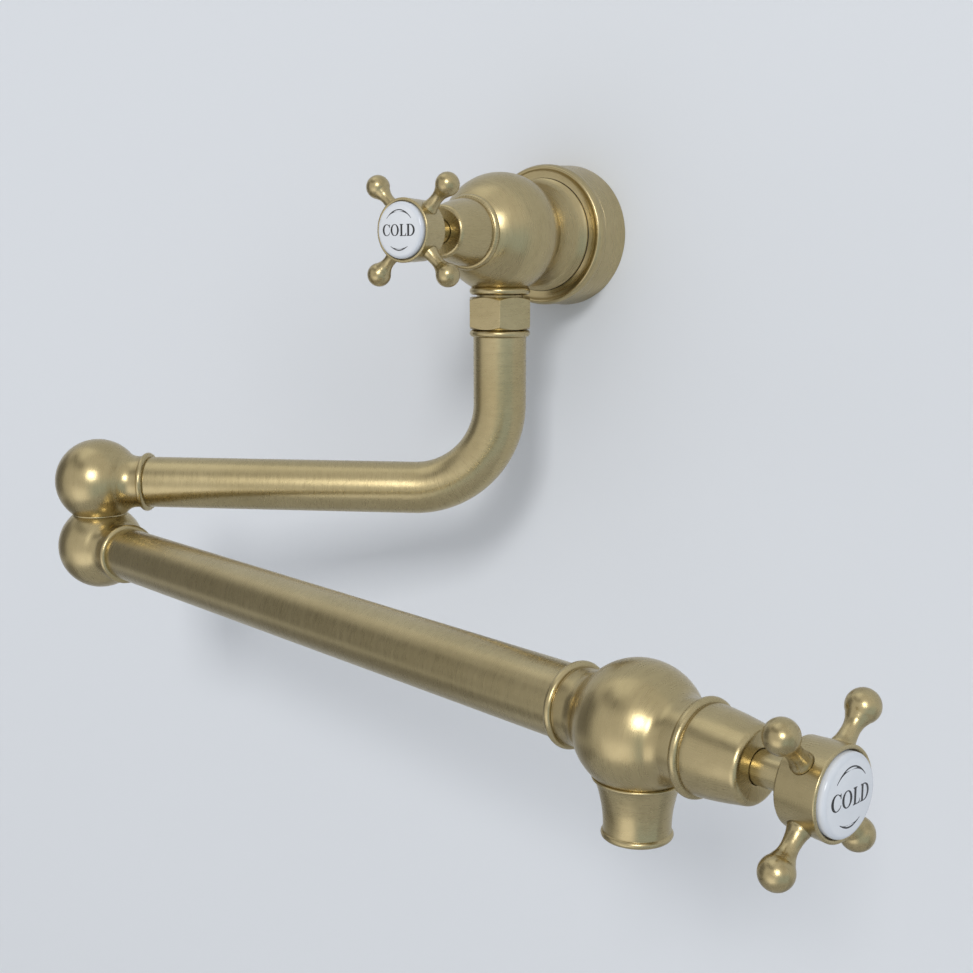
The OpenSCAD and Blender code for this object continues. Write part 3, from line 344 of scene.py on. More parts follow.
# The upper valve body is one brass casting, turned and brushed: a boss on the wall, a skirt that flares
# out behind the ball and enters the flange, the ball, a bored neck for the cartridge, and an outlet with
# a ring round it underneath.
boss_radius, skirt_radius, skirt_back = 15.0, 23.8, -36.0
gland_radius, gland_back, gland_front = 22.8, -32.25, -30.85
flare_middle, flare_round = (29.92, -22.7), 9.5
waist_middle, waist_round = (44.5, -17.4), 25.0
hollow_middle, hollow_round = (22.0, -16.08), 2.5
upper_ball, neck_radius, neck_end = 24.75, 10.9, 23.0
cartridge_bore, seal_seat = 9.4, -7.0
outlet_radius, outlet_from, outlet_ring_at, outlet_ring_half = 11.2, 12.4, 23.4, 1.6
stub_radius, stub_end, drop_ring_crest = 9.6, 33.0, 12.6
pivot_bore, outlet_bore, pivot_floor, bore_end = 7.55, 5.6, 23.0, 34.0


def carve(piece, tool, how="DIFFERENCE"):
    """Takes the tool's shape out of a piece, or joins it on with UNION, and throws the tool away."""
    cut = piece.modifiers.new("cut", "BOOLEAN")
    cut.operation, cut.solver, cut.object = how, "EXACT", tool
    graph = bpy.context.evaluated_depsgraph_get()
    result = piece.evaluated_get(graph)
    done = bpy.data.meshes.new_from_object(result, preserve_all_data_layers=True, depsgraph=graph)
    piece.modifiers.remove(cut)
    piece.data = done
    bpy.data.objects.remove(tool)
    shine(piece)


def cutter(outline, place, turns=160):
    """A plain turned shape for carve."""
    return turned_piece("tool", np.array(outline, float), place, turns)


def ring_line(height, crest, half, steps=16):
    """Outline of a ring of round section: a half circle whose crest is at that radius."""
    return arc((crest - half, height), half, -90, 90, steps)


drop = stand((0, wall_at, 0), (0, 0, -1), (0, -1, 0))
body_outline = np.vstack([
    [[cartridge_bore, casting_back], [boss_radius, casting_back], [boss_radius, skirt_back]],
    [[skirt_radius, skirt_back]],
    groove(skirt_radius, gland_radius, gland_back, gland_front),
    arc(flare_middle, flare_round, 230, 200, 20),
    arc(waist_middle, waist_round, 200, 180, 20)[1:],
    arc(hollow_middle, hollow_round, 180, 143.8, 12),
    arc((0, 0), upper_ball, -36.2, 63.87, 64)[1:],
    [[neck_radius, neck_end], [cartridge_bore, neck_end], [cartridge_bore, seal_seat]],
    [[waterway, seal_seat], [waterway, inlet_seat], [cartridge_bore, inlet_seat]],
])
upper_body = turned_piece("upper_valve_casting", eased(body_outline), upper_valve, 192)
outlet = np.vstack([
    [[0, outlet_from], [outlet_radius, outlet_from]],
    ring_line(outlet_ring_at, drop_ring_crest, outlet_ring_half, 20),
    [[stub_radius, outlet_ring_at + outlet_ring_half], [stub_radius, stub_end], [0, stub_end]],
])
outlet_hole = [
    [0, 0], [outlet_bore, 0], [outlet_bore, pivot_floor],
    [pivot_bore, pivot_floor], [pivot_bore, bore_end], [0, bore_end],
]
carve(upper_body, turned_piece("tool", eased(outlet, 0.12), drop, 144), "UNION")
carve(upper_body, cutter(outlet_hole, drop, 96))
dress(upper_body, brushed, "satin_brass", "wall_mount", "upper_valve_body")

# Each bonnet is a tapered brass shroud with a ring round its foot. It slides over the cartridge, sits
# against the valve body, and lets the spindle out through a hole in its front.
upper_turn, lower_turn = math.radians(27.8), math.radians(13.2)
upper_reach, lower_reach, drop_height, ball_step = 178.2, 319.8, 106.8, 29.05
lower_valve_ball = 18.55
bonnet_front, front_radius, front_round = 38.5, 10.5, 1.9
spindle_hole, bonnet_ceiling = 4.78, 37.4
cartridge_room, room_step, neck_room = 8.25, 27.1, 11.05
belly_share, ball_gap, ring_gap = 0.12, 0.05, 0.06
along_upper = np.array([math.cos(upper_turn), math.sin(upper_turn), 0])
along_lower = np.array([math.cos(lower_turn), -math.sin(lower_turn), 0])
elbow = [0, wall_at, -drop_height] - upper_reach * along_upper
lower_elbow = elbow - [0, 0, ball_step]
lower_ball_at = lower_elbow + lower_reach * along_lower
lower_valve = stand(lower_ball_at, along_lower)
valves = (("upper", upper_valve), ("lower", lower_valve))


def bonnet(name, ball, foot, foot_crest, foot_half, barrel, place):
    """A bonnet: the foot ring, a barrel that narrows with a slight belly, a rounded front edge and the
    hole, then back along the inside to a seat that keeps off the ball."""
    s = np.linspace(0, 1, 15)
    back = foot + foot_half
    belly = belly_share * (barrel - front_radius) * np.sin(math.pi * s)
    wide = barrel + (front_radius - barrel) * s + belly
    side = np.column_stack([wide, back + (bonnet_front - back) * s])
    ring = ring_line(foot, foot_crest, foot_half)
    ring = ring[np.hypot(*ring.T) > ball + ring_gap]
    low = max(foot - foot_half, math.sqrt(max((ball + ball_gap) ** 2 - neck_room ** 2, 0)))
    outline = np.vstack([
        [[neck_room, low]], ring, side[1:],
        arc((front_radius - front_round, bonnet_front), front_round, 0, 90, 12),
        [[spindle_hole, bonnet_front + front_round], [spindle_hole, bonnet_ceiling]],
        [[cartridge_room, bonnet_ceiling], [cartridge_room, room_step], [neck_room, room_step]],
    ])
    return turned_piece(name, eased(outline, 0.15), place)


brushed_along = satin_brass(
    "brushed_along_brass", (26.0, 0.009, 2.0), (70.0, 0.004, 1.0), 600.0, 2.2, 0.06)
upper_foot = {"foot": 22.3, "foot_crest": 15.0, "foot_half": 1.6, "barrel": 13.5}
lower_foot = {"foot": 22.4, "foot_crest": 13.6, "foot_half": 1.4, "barrel": 12.4}
upper_shroud = bonnet("upper_bonnet_shroud", upper_ball, place=upper_valve, **upper_foot)
dress(upper_shroud, brushed_along, "satin_brass", "wall_mount", "upper_bonnet")
lower_shroud = bonnet("lower_bonnet_shroud", lower_valve_ball, place=lower_valve, **lower_foot)
dress(lower_shroud, brushed_along, "satin_brass", "lower_arm", "lower_bonnet")

# The union nut is a brass hexagon that holds the swinging arm up to the valve. Its six flats and the
# chamfers at both ends meet in soft edges.
nut_top, nut_low, nut_flat, nut_turn = 25.9, 39.1, 12.4, 4.6
nut_face, nut_bore, nut_shelf, nut_hole, nut_mouth, mouth_deep = 11.6, 9.65, 36.95, 8.55, 10.2, 0.6
chamfer_radius, chamfer_slope = 12.3, math.radians(31)


def soft_least(values, ease):
    """The least of several surfaces, rounded where two of them meet: minus ease times the logarithm of
    the sum of exp(-value / ease)."""
    low = values.min(0)
    return low - ease * np.log(np.exp(-(values - low) / ease).sum(0))


turn = 2 * math.pi * np.linspace(0, 1, 361)
sides = np.radians(np.arange(6) * 60 + 30 - nut_turn)[:, None]
facing = np.cos(turn[None] - sides)
least_facing, far_off = 0.3, 40.0
flats = np.where(facing > least_facing, nut_flat / np.maximum(facing, least_facing), far_off)
hexagon = soft_least(flats, 0.05)
z = nut_top + (nut_low - nut_top) * (1 - np.cos(np.linspace(0, math.pi, 70))) / 2
end = np.minimum(z - nut_top, nut_low - z)[:, None]
chamfer = chamfer_radius + end / math.tan(chamfer_slope)
both = np.stack([np.repeat(hexagon[None], len(z), 0), np.repeat(chamfer, len(turn), 1)])
nut_inside = np.array([
    [nut_face, nut_low], [nut_hole, nut_low], [nut_hole, nut_shelf], [nut_bore, nut_shelf],
    [nut_bore, nut_top + mouth_deep], [nut_mouth, nut_top], [nut_face, nut_top],
])
nut = closed_skin("union_hexagon", soft_least(both, 0.07), z, nut_inside, drop)
dress(nut, brushed, "satin_brass", "wall_mount", "union_nut")

# The drop spigot is turned brass: a pivot with two ring grooves that turns in the valve, a collar
# that the nut holds, the ring that shows below the nut, and a plug soldered into the tube.
pivot_radius, pivot_bevel, groove_floor = 7.5, 0.6, 5.85
high_groove, low_groove = (27.55, 29.55), (31.35, 33.35)
pivot_top, collar_top, collar_end = 24.15, 35.15, 36.9
collar_radius, spigot_neck, neck_low = 9.4, 8.5, 39.4
spigot_bore, bore_taper = 4.9, 1.6
drop_ring_half, tube_top = 1.45, 42.3
plug_radius, plug_length, plug_bevel = 9.75, 11.0, 0.6


def plug(start):
    """Outline of a plug that is soldered into a tube, from its shoulder to its bevelled end."""
    end = start + plug_length
    return [[plug_radius, start], [plug_radius, end - plug_bevel], [plug_radius - plug_bevel, end]]


spigot_outline = np.vstack([
    [[spigot_bore, pivot_top], [pivot_radius - pivot_bevel, pivot_top]],
    [[pivot_radius, pivot_top + pivot_bevel]],
    groove(pivot_radius, groove_floor, *high_groove),
    groove(pivot_radius, groove_floor, *low_groove),
    [[pivot_radius, collar_top], [collar_radius, collar_top], [collar_radius, collar_end]],
    [[spigot_neck, collar_end], [spigot_neck, neck_low]],
    ring_line(tube_top - drop_ring_half, drop_ring_crest, drop_ring_half),
    plug(tube_top),
    [[waterway, tube_top + plug_length], [waterway, neck_low], [spigot_bore, neck_low - bore_taper]],
])
spigot = turned_piece("drop_spigot_ring", eased(spigot_outline, 0.08), drop, 144)
dress(spigot, brushed, "satin_brass", "upper_arm", "drop_spigot")

# Both arms are drawn brass tube, 22 mm across, soldered over the plugs. The upper one runs down, turns
# through one bend and runs on to the swivel; the lower one is straight.
tube_radius, tube_wall, tube_lip = 11.0, 1.2, 0.12
bend = 36.6
ring_half, upper_ring_at, lower_ring_at, casting_ring_at = 1.4, 22.7, 24.6, 23.6


def band(inner, outer, start, end):
    """Outline of a plain ring or bar that runs from start to end."""
    return [[inner, start], [outer, start], [outer, end], [inner, end]]


def bent_tube(name, centres, tangents, across, outer, wall, place):
    """A round tube along a line in one plane. The skin's point is centre + r (n cos a + across sin a), with
    n at right angles to the line; the rows go out along the outside and come back inside."""
    share = np.linspace(0, 1, 129)
    a = 2 * math.pi * share
    n = np.cross(across, tangents)
    ways = np.cos(a)[None, :, None] * n[:, None] + np.sin(a)[None, :, None] * across
    outside, inside = (centres[:, None] + r * ways for r in (outer, outer - wall))
    first, last = (centres[k, None] + (outer - tube_lip) * ways[k] for k in (0, -1))
    outside[0] += tube_lip * tangents[0]
    outside[-1] -= tube_lip * tangents[-1]
    grid = np.concatenate([[first], outside, [last], inside[::-1], [first]])
    run = np.concatenate([[0], np.cumsum(np.linalg.norm(np.diff(grid[:, 0], axis=0), axis=1))])
    return shell(name, grid, share, run, np.full(len(run), 0.5), place)


s = np.radians(np.linspace(0, 90, 49))
down = np.linspace(-tube_top, bend - drop_height, 12)[:-1]
out = np.linspace(bend, upper_reach - upper_ring_at - ring_half, 40)[1:]
line_x = np.concatenate([down * 0, bend * (1 - np.cos(s)), out])
line_z = np.concatenate([down, bend - drop_height - bend * np.sin(s), out * 0 - drop_height])
way_x = np.concatenate([down * 0, np.sin(s), out * 0 + 1])
way_z = np.concatenate([down * 0 - 1, -np.cos(s), out * 0])
centres = np.column_stack([line_x, line_x * 0, line_z])
tangents = np.column_stack([way_x, line_x * 0, way_z])
arm_plane = np.eye(4)
arm_plane[:3, 0] = -along_upper
arm_plane[:3, 1] = np.cross((0, 0, 1), -along_upper)
arm_plane[:3, 3] = (0, wall_at, 0)
upper_tube = bent_tube(
    "upper_arm_pipe", centres, tangents, np.array([0.0, 1.0, 0.0]), tube_radius, tube_wall, arm_plane)
dress(upper_tube, brushed, "satin_brass", "upper_arm", "upper_arm_tube")

lower_swivel = stand(lower_elbow, along_lower)
pipe_start, pipe_end = lower_ring_at + ring_half, lower_reach - casting_ring_at - ring_half
pipe_outline = eased(band(tube_radius - tube_wall, tube_radius, pipe_start, pipe_end), 0.15)
lower_tube = turned_piece("lower_arm_pipe", pipe_outline, lower_swivel, 144)
dress(lower_tube, brushed, "satin_brass", "lower_arm", "lower_arm_tube")

# The swivel is two brass balls, one on each arm, turned with their necks and rings. Each has a flat
# where it meets the thin washer between them, and bores for the hollow pivot and its spring clip.
swivel_ball, swivel_neck, neck_hollow, ring_crest = 18.45, 11.2, 8.8, 12.8
ball_flat, beyond = 14.2, 20.0
clip_room, clip_low, clip_high, foot_bore, foot_low, foot_high = 9.2, -3, 6, 7.0, -6, 3
washer_thick, washer_hole, washer_radius = 0.6, 8, 11.8


def ball_and_neck(ball, ring_at, start):
    """Outline of a ball that runs through a hollow into its neck, its ring and the plug for the tube."""
    far = swivel_neck + neck_hollow
    rise = math.sqrt((ball + neck_hollow) ** 2 - far ** 2)
    meet = math.degrees(math.atan2(rise, far))
    return np.vstack([
        arc((0, 0), ball, start, meet, int((meet - start) / 2)),
        arc((far, rise), neck_hollow, 180 + meet, 180, 20)[1:],
        ring_line(ring_at, ring_crest, ring_half),
        plug(ring_at + ring_half),
    ])


def swivel_half(name, ring_at, place, centre, bore, body, solid):
    """One ball of the swivel, with its neck, bored out along the upright axis."""
    plug_end = ring_at + ring_half + plug_length
    inside = [[waterway, plug_end], [waterway, 0], [0, 0]]
    outline = np.vstack([ball_and_neck(swivel_ball, ring_at, -90), inside])
    half = turned_piece(name, eased(outline, 0.1), place)
    carve(half, cutter(bore, stand(centre, (0, 0, 1), (0, 1, 0))))
    dress(half, brushed, "satin_brass", body, solid)


upper_bore = [
    [0, -beyond], [beyond, -beyond], [beyond, -ball_flat], [pivot_bore, -ball_flat],
    [pivot_bore, clip_low], [clip_room, clip_low], [clip_room, clip_high], [0, clip_high],
]
lower_bore = [
    [0, foot_low], [foot_bore, foot_low], [foot_bore, foot_high], [pivot_bore, foot_high],
    [pivot_bore, ball_flat], [beyond, ball_flat], [beyond, beyond], [0, beyond],
]
swivel_half("upper_swivel_turned", upper_ring_at, stand(elbow, along_upper), elbow, upper_bore,
            "upper_arm", "upper_swivel_ball")
swivel_half("lower_swivel_turned", lower_ring_at, lower_swivel, lower_elbow, lower_bore,
            "lower_arm", "lower_swivel_ball")
washer_outline = eased(band(washer_hole, washer_radius, -ball_flat - washer_thick, -ball_flat), 0.15)
washer = turned_piece("swivel_thin_washer", washer_outline, stand(elbow, (0, 0, 1), (0, 1, 0)), 144)
dress(washer, brushed, "satin_brass", "upper_arm", "swivel_washer")

# The lower valve body is one casting too: a plug in the tube, ring, neck and ball, a flat underneath
# with a short spigot for the spout, and the bored neck that takes the cartridge.
shoulder_radius, shoulder_at, shoulder_hollow, hollow_at, hollow_turn = 11.9, 20.95, 6.0, 16.8, 43.18
spout_flat, spout_spigot, spigot_from, spigot_end, spout_bore = 14.0, 8.2, 10.0, 20.2, 6.0
cut_wide, cut_end, bore_far = 19.0, 24.0, 22.0
plug_far = -casting_ring_at - ring_half - plug_length
casting = np.vstack([
    [[waterway, plug_far]],
    (ball_and_neck(lower_valve_ball, casting_ring_at, 0) * [1, -1])[::-1],
    arc((0, 0), lower_valve_ball, 0, hollow_turn, 24)[1:],
    arc((shoulder_radius + shoulder_hollow, hollow_at), shoulder_hollow, 180 + hollow_turn, 180, 16)[1:],
    [[shoulder_radius, shoulder_at], [neck_radius, shoulder_at], [neck_radius, neck_end]],
    [[cartridge_bore, neck_end], [cartridge_bore, seal_seat], [waterway, seal_seat]],
])
lower_body = turned_piece("lower_valve_casting", eased(casting, 0.12), lower_valve, 192)
spout_place = stand(lower_ball_at, (0, 0, -1), (0, -1, 0))
carve(lower_body, cutter(band(spout_spigot, cut_wide, spout_flat, cut_end), spout_place, 144))
carve(lower_body, cutter(band(0, spout_spigot, spigot_from, spigot_end), spout_place, 144), "UNION")
carve(lower_body, cutter(band(0, spout_bore, 0, bore_far), spout_place, 96))
dress(lower_body, brushed, "satin_brass", "lower_arm", "lower_valve_body")

# The spout nozzle is turned brass, pressed on the spigot: a thin rim on top, a hollow taper and a
# rounded lip. A plastic aerator with a steel screen sits inside its mouth.
nozzle_low, nozzle_flare, taper_top, taper_long = 9.4, 3.3, 14.8, 14.4
rim_half, rim_middle, lip_round, lip_middle = 0.4, 12.3, 1.1, 8.9
mouth_end, mouth_radius, mouth_step, socket_radius = 31.4, 8.0, 20.4, 8.25
taper_shares = np.array([0, 0.06, 0.13, 0.26, 0.4, 0.55, 0.7, 0.86, 1])
taper_swell = np.array([0.78, 0.66, 0.56, 0.4, 0.26, 0.13, 0.05, 0, 0])


def smooth_line(points, steps=8):
    """A smooth curve through the points: each stretch is the cubic whose slope at both of its ends is
    half the step between the neighbours there."""
    p = np.vstack([2 * points[0] - points[1], points, 2 * points[-1] - points[-2]])
    t = np.linspace(0, 1, steps, endpoint=False)[:, None]
    a, b, c, d = (p[k:len(p) - 3 + k, None] for k in range(4))
    square, cube = 2 * a - 5 * b + 4 * c - d, 3 * b - 3 * c + d - a
    curve = 0.5 * (2 * b + (c - a) * t + square * t ** 2 + cube * t ** 3)
    return np.vstack([curve.reshape(-1, 2), points[-1:]])


taper_line = [nozzle_low + taper_swell * nozzle_flare, taper_top + taper_shares * taper_long]
nozzle_outline = np.vstack([
    [[socket_radius, spout_flat]],
    arc((rim_middle, spout_flat + rim_half), rim_half, -90, 90, 8),
    smooth_line(np.column_stack(taper_line), 5),
    arc((lip_middle, mouth_end - lip_round), lip_round, -62, 90, 12),
    [[mouth_radius, mouth_end], [mouth_radius, mouth_step], [socket_radius, mouth_step]],
])
nozzle = turned_piece("spout_nozzle_turned", eased(nozzle_outline, 0.12), spout_place)
dress(nozzle, brushed, "satin_brass", "lower_arm", "spout_nozzle")

# Each spindle is turned bar with a foot for the discs, a ring groove, a square end for the hub and a
# tapped hole for the hub's screw. The round length between the bonnet and the hub shows.
spindle_radius, spindle_foot, foot_at, foot_top = 4.6, 6.5, 4.55, 6.95
spindle_groove, seal_from, seal_to = 3.3, 31.2, 32.8
hub_seat, hub_end, square_radius, tapped_radius, tapped_from = 52.5, 57.0, 3.6, 2.05, 47.0
clearance = 0.05
spindle_shoulder = hub_seat + clearance
spindle_outline = np.vstack([
    [[0, foot_at], [spindle_foot, foot_at], [spindle_foot, foot_top], [spindle_radius, foot_top]],
    groove(spindle_radius, spindle_groove, seal_from, seal_to),
    [[spindle_radius, spindle_shoulder], [square_radius, spindle_shoulder], [square_radius, hub_end]],
    [[tapped_radius, hub_end], [tapped_radius, tapped_from], [0, tapped_from]],
])
for side, place in valves:
    spindle = turned_piece(side + "_spindle_turned", eased(spindle_outline, 0.1), place, 96)
    dress(spindle, brushed_along, "satin_brass", side + "_handle", side + "_spindle")

# Each handle has a brass hub, a slightly tapered drum with a recess in front for the index button and
# four holes for the levers. The levers are turned and rubbed by hand: a root, a waist and a ball, driven
# into the hub.
hub_back, hub_front, hub_face, hub_recess, recess_floor = 11.5, 12.1, 64.5, 10.9, 60.9
screw_room, screw_seat, screw_hole = 4.0, 58.6, 2.1
lever_height, ball_radius, ball_reach, seat, root, waist = 58.1, 4.57, 23.4, 11.2, 3.1, 2.3
lever_pin, pin_end, hole_end, seat_gap, root_gap, hole_far = 2.0, 8.2, 8.1, 0.02, 0.12, 16.0
ball_start, corner_ease, corner_steps = -math.asin(0.66), 0.6, 8
stem_shares = np.array([0, 0.1, 0.24, 0.42, 0.6, 0.78, 0.9])
stem_swell = np.array([1, 0.93, 0.42, 0.1, 0, 0.22, 0.62])
hand_rubbed = satin_brass("hand_rubbed_brass", (3.0, 0.0007, 3.0), (12.0, 0.0005, 2.0), 1100.0, 4.0, 0.3)
shoulder = ball_radius * math.cos(ball_start)
stretch = ball_reach + ball_radius * math.sin(ball_start) - seat
ends = np.where(np.arange(7) < 4, root, shoulder)
stem = np.column_stack([waist + stem_swell * (ends - waist), seat + stem_shares * stretch])
stem = smooth_line(np.vstack([stem, [[shoulder, seat + stretch]]]), 6)[:-1]
lever_outline = np.vstack([
    [[0, pin_end], [lever_pin, pin_end], [lever_pin, seat]],
    stem,
    arc((0, ball_reach), ball_radius, math.degrees(ball_start), 90, 32),
])
lever_hole = [
    [0, hole_end], [lever_pin + clearance, hole_end], [lever_pin + clearance, seat - seat_gap],
    [root + root_gap, seat - seat_gap], [root + root_gap, hole_far], [0, hole_far],
]
hub_outline = np.array([
    [hub_back, hub_seat], [hub_front, hub_face], [hub_recess, hub_face], [hub_recess, recess_floor],
    [screw_room, recess_floor], [screw_room, screw_seat], [screw_hole, screw_seat],
    [screw_hole, hub_end], [square_radius + clearance, hub_end], [square_radius + clearance, hub_seat],
])
for side, place in valves:
    hub = turned_piece(side + "_hub_drum", eased(hub_outline, corner_ease, corner_steps), place)
    for k in range(4):
        turn = math.radians(45 + 90 * k)
        outward = math.cos(turn) * place[:3, 0] + math.sin(turn) * place[:3, 1]
        lever_place = stand(place[:3, 3] + lever_height * place[:3, 2], outward, place[:3, 2])
        carve(hub, cutter(lever_hole, lever_place, 64))
        lever = turned_piece(f"{side}_lever_{k + 1}_turned", eased(lever_outline, 0.08), lever_place, 80)
        dress(lever, hand_rubbed, "satin_brass", side + "_handle", f"{side}_lever_{k + 1}")
    dress(hub, brushed_along, "satin_brass", side + "_handle", side + "_hub")

# The index button is a disc of white glazed ceramic with a rounded edge and a low dome, glued in the
# hub. The word for cold water is fired into the glaze in black, with a plain curved rule above it and
# one below it.
button_back, button_face, dome, flat_radius, button_round = 61.85, 66.1, 0.5, 9.3, 1.3
letter_high, stem_half, serif_thin = 2.2, 0.43, 0.24
letter_c, letter_o, letter_l, letter_d = -5.8, -1.77, 1.45, 4.57
rule_radius, rule_turns = 7.2, ((143, 37), (236, 304))
mark_raised, mark_sunk = 0.03, 0.005


def glazed_white():
    """White ceramic under a clear glaze: faint tone changes below, a smooth glossy surface with a slight
    ripple, and the rounded outer edge painted darker and bluer as painted shade."""
    made, tree, shader, place = blank("glazed_white")
    cloud = noise(tree, place, 160.0, 3.0)
    tone = blend(tree, cloud, (0.63, 0.65, 0.68), (0.70, 0.715, 0.74))
    # Painted shade: the rounded outer edge is mixed toward a darker blue grey.
    painted_rim_shade = remap(tree, edge_share(tree), 0.52, 0.75, 0.0, 0.5)
    tone = blend(tree, painted_rim_shade, tone, (0.42, 0.46, 0.52))
    rough = remap(tree, cloud, 0.0, 1.0, 0.08, 0.18)
    feed(tree, shader, tone, rough, noise(tree, place, 220.0, 1.0), 0.08, 0.0001)
    return made


def black_glaze():
    """Black ceramic colour, fired into the glaze, a little uneven."""
    made, tree, shader, place = blank("black_glaze")
    speck = noise(tree, place, 2500.0, 2.0)
    tone = blend(tree, speck, (0.008, 0.008, 0.009), (0.03, 0.03, 0.032))
    tree.links.new(tone, shader.inputs["Base Color"])
    shader.inputs["Roughness"].default_value = 0.2
    return made


def dome_height(r):
    """Height of the button's face at radius r."""
    return button_face + dome * (1 - (r / flat_radius) ** 2)


def oval(centre, half_wide, half_high, start, end, steps=40):
    """Points on an oval, from the angle start to the angle end in degrees."""
    a = np.radians(np.linspace(start, end, steps + 1))
    return np.column_stack([centre + half_wide * np.cos(a), half_high * np.sin(a)])


def fine_steps(points, step=0.35):
    """Adds points along the long sides of an outline, so that it can follow the dome."""
    done = []
    for a, b in zip(points, np.roll(points, -1, 0)):
        n = max(1, int(np.hypot(*(b - a)) / step))
        done.append(a + (b - a) * np.linspace(0, 1, n, endpoint=False)[:, None])
    return np.vstack(done)


def stem_left(at, wide):
    """The left side of a stem with its two serifs, from the top down, beside the stem's middle line."""
    top, thin = letter_high, serif_thin
    return [
        [at - wide, top], [at - wide, top - thin], [at - wide + 0.3, top - thin - 0.06],
        [at - stem_half, top - thin - 0.3], [at - stem_half, -top + thin + 0.3],
        [at - wide + 0.3, -top + thin + 0.06], [at - wide, -top + thin],
    ]


def capital_c(at):
    """The C: a thick left side, a thin one, a tapered end below and a serif above."""
    return [np.vstack([
        oval(at, 1.95, letter_high, 55, 305),
        [[at + 1.5, -1.5], [at + 1.74, -0.82], [at + 1.56, -0.82], [at + 1.28, -1.38]],
        oval(at + 0.18, 1.24, letter_high - serif_thin, 305, 55),
        [[at + 1.28, 1.34], [at + 1.5, 0.72], [at + 1.68, 0.72], [at + 1.68, 2.1]],
        [[at + 1.54, 2.1], [at + 1.38, 1.8]],
    ])]


def capital_o(at):
    """The O: an oval and its narrower hollow."""
    return [oval(at, 1.98, letter_high, 0, 354), oval(at, 1.14, letter_high - serif_thin, 0, 354)]


def capital_l(at):
    """The L: a foot with a raised end, and a stem."""
    top, thin, half = letter_high, serif_thin, stem_half
    return [np.array([
        [at - 0.78, -top], [at + 2.0, -top], [at + 2.2, -top + 1.15], [at + 2.04, -top + 1.15],
        [at + 1.72, -top + 0.52], [at + 1.3, -top + 0.24], [at + half, -top + thin],
        [at + half, top - thin - 0.3], [at + 0.48, top - thin - 0.06], [at + 0.8, top - thin],
        [at + 0.8, top],
    ] + stem_left(at, 0.78))]


def capital_d(at):
    """The D: a stem with a bowl, and its hollow."""
    top, thin, half = letter_high, serif_thin, stem_half
    bowl = oval(at + 0.72, 2.22, top, -90, 90)
    hollow = oval(at + 0.55, 1.53, top - thin, 90, -90)
    return [
        np.vstack([[[at - 0.75, -top]], bowl, stem_left(at, 0.75)]),
        np.vstack([hollow, [[at + half, -top + thin], [at + half, top - thin]]]),
    ]


def curved_rule(start, end):
    """A rule that follows a circle and swells in its middle: half its width is a tenth of a millimetre, and
    0.34 times the squared sine of its run more."""
    a = np.radians(np.linspace(start, end, 60))
    width = 0.1 + 0.34 * np.sin(np.linspace(0, math.pi, 60)) ** 2
    way = np.column_stack([np.cos(a), np.sin(a)])
    outer, inner = rule_radius + width, rule_radius - width
    return np.vstack([way * outer[:, None], (way * inner[:, None])[::-1]])


def fired_mark(name, shapes, place):
    """Fills the closed outlines, raises them a little and lays them on the dome."""
    drawing = bpy.data.curves.new("drawing", "CURVE")
    drawing.dimensions, drawing.fill_mode = "2D", "BOTH"
    drawing.extrude = mark_raised
    for shape in shapes:
        shape = fine_steps(shape)
        line = drawing.splines.new("POLY")
        line.points.add(len(shape) - 1)
        line.points.foreach_set("co", np.column_stack([shape, shape * 0 + [0, 1]]).ravel())
        line.use_cyclic_u = True
    sketch = placed("drawing", drawing)
    bpy.context.view_layer.update()
    mesh = bpy.data.meshes.new_from_object(sketch)
    bpy.data.objects.remove(sketch)
    co = np.empty(len(mesh.vertices) * 3, np.float32)
    mesh.vertices.foreach_get("co", co)
    co = co.reshape(-1, 3).astype(float)
    co[:, 2] += dome_height(np.hypot(co[:, 0], co[:, 1])) - mark_sunk
    co = (co @ place[:3, :3].T + place[:3, 3]) * MM
    mesh.vertices.foreach_set("co", co.astype(np.float32).ravel())
    mesh.materials.clear()
    mesh.materials.append(black_colour)
    return placed(name, mesh)


white_glaze, black_colour = glazed_white(), black_glaze()
r = np.linspace(flat_radius, 0, 24)
button_outline = np.vstack([
    [[0, button_back], [flat_radius + button_round, button_back]],
    arc((flat_radius, button_face - button_round), button_round, 0, 90, 14),
    np.column_stack([r, dome_height(r)])[1:],
])
marks = capital_c(letter_c) + capital_o(letter_o) + capital_l(letter_l) + capital_d(letter_d)
marks += [curved_rule(*turns) for turns in rule_turns]
for side, place in valves:
    button = turned_piece(side + "_glazed_button", eased(button_outline, 0.15), place)
    dress(button, white_glaze, "white_ceramic", side + "_handle", side + "_index_button")
    word = fired_mark(side + "_cold_mark", marks, place)
    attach(word, side + "_handle")

# The working parts inside stay as they are in the solids: rubber rings and seals, ceramic discs,
# brass cartridges, the hollow pivot, steel plate, clip, screws and screen, and moulded plastic.


def speckled(name, dark, light, scale, rough, metal, depth):
    """A plain surface with a fine grain: one noise moves its tone between two colours, its roughness and
    its bump."""
    made, tree, shader, place = blank(name)
    grain = noise(tree, place, scale, 4.0)
    tone = blend(tree, grain, dark, light)
    feed(tree, shader, tone, remap(tree, grain, 0.0, 1.0, rough - 0.08, rough + 0.08), grain, 0.2, depth)
    shader.inputs["Metallic"].default_value = metal
    return made


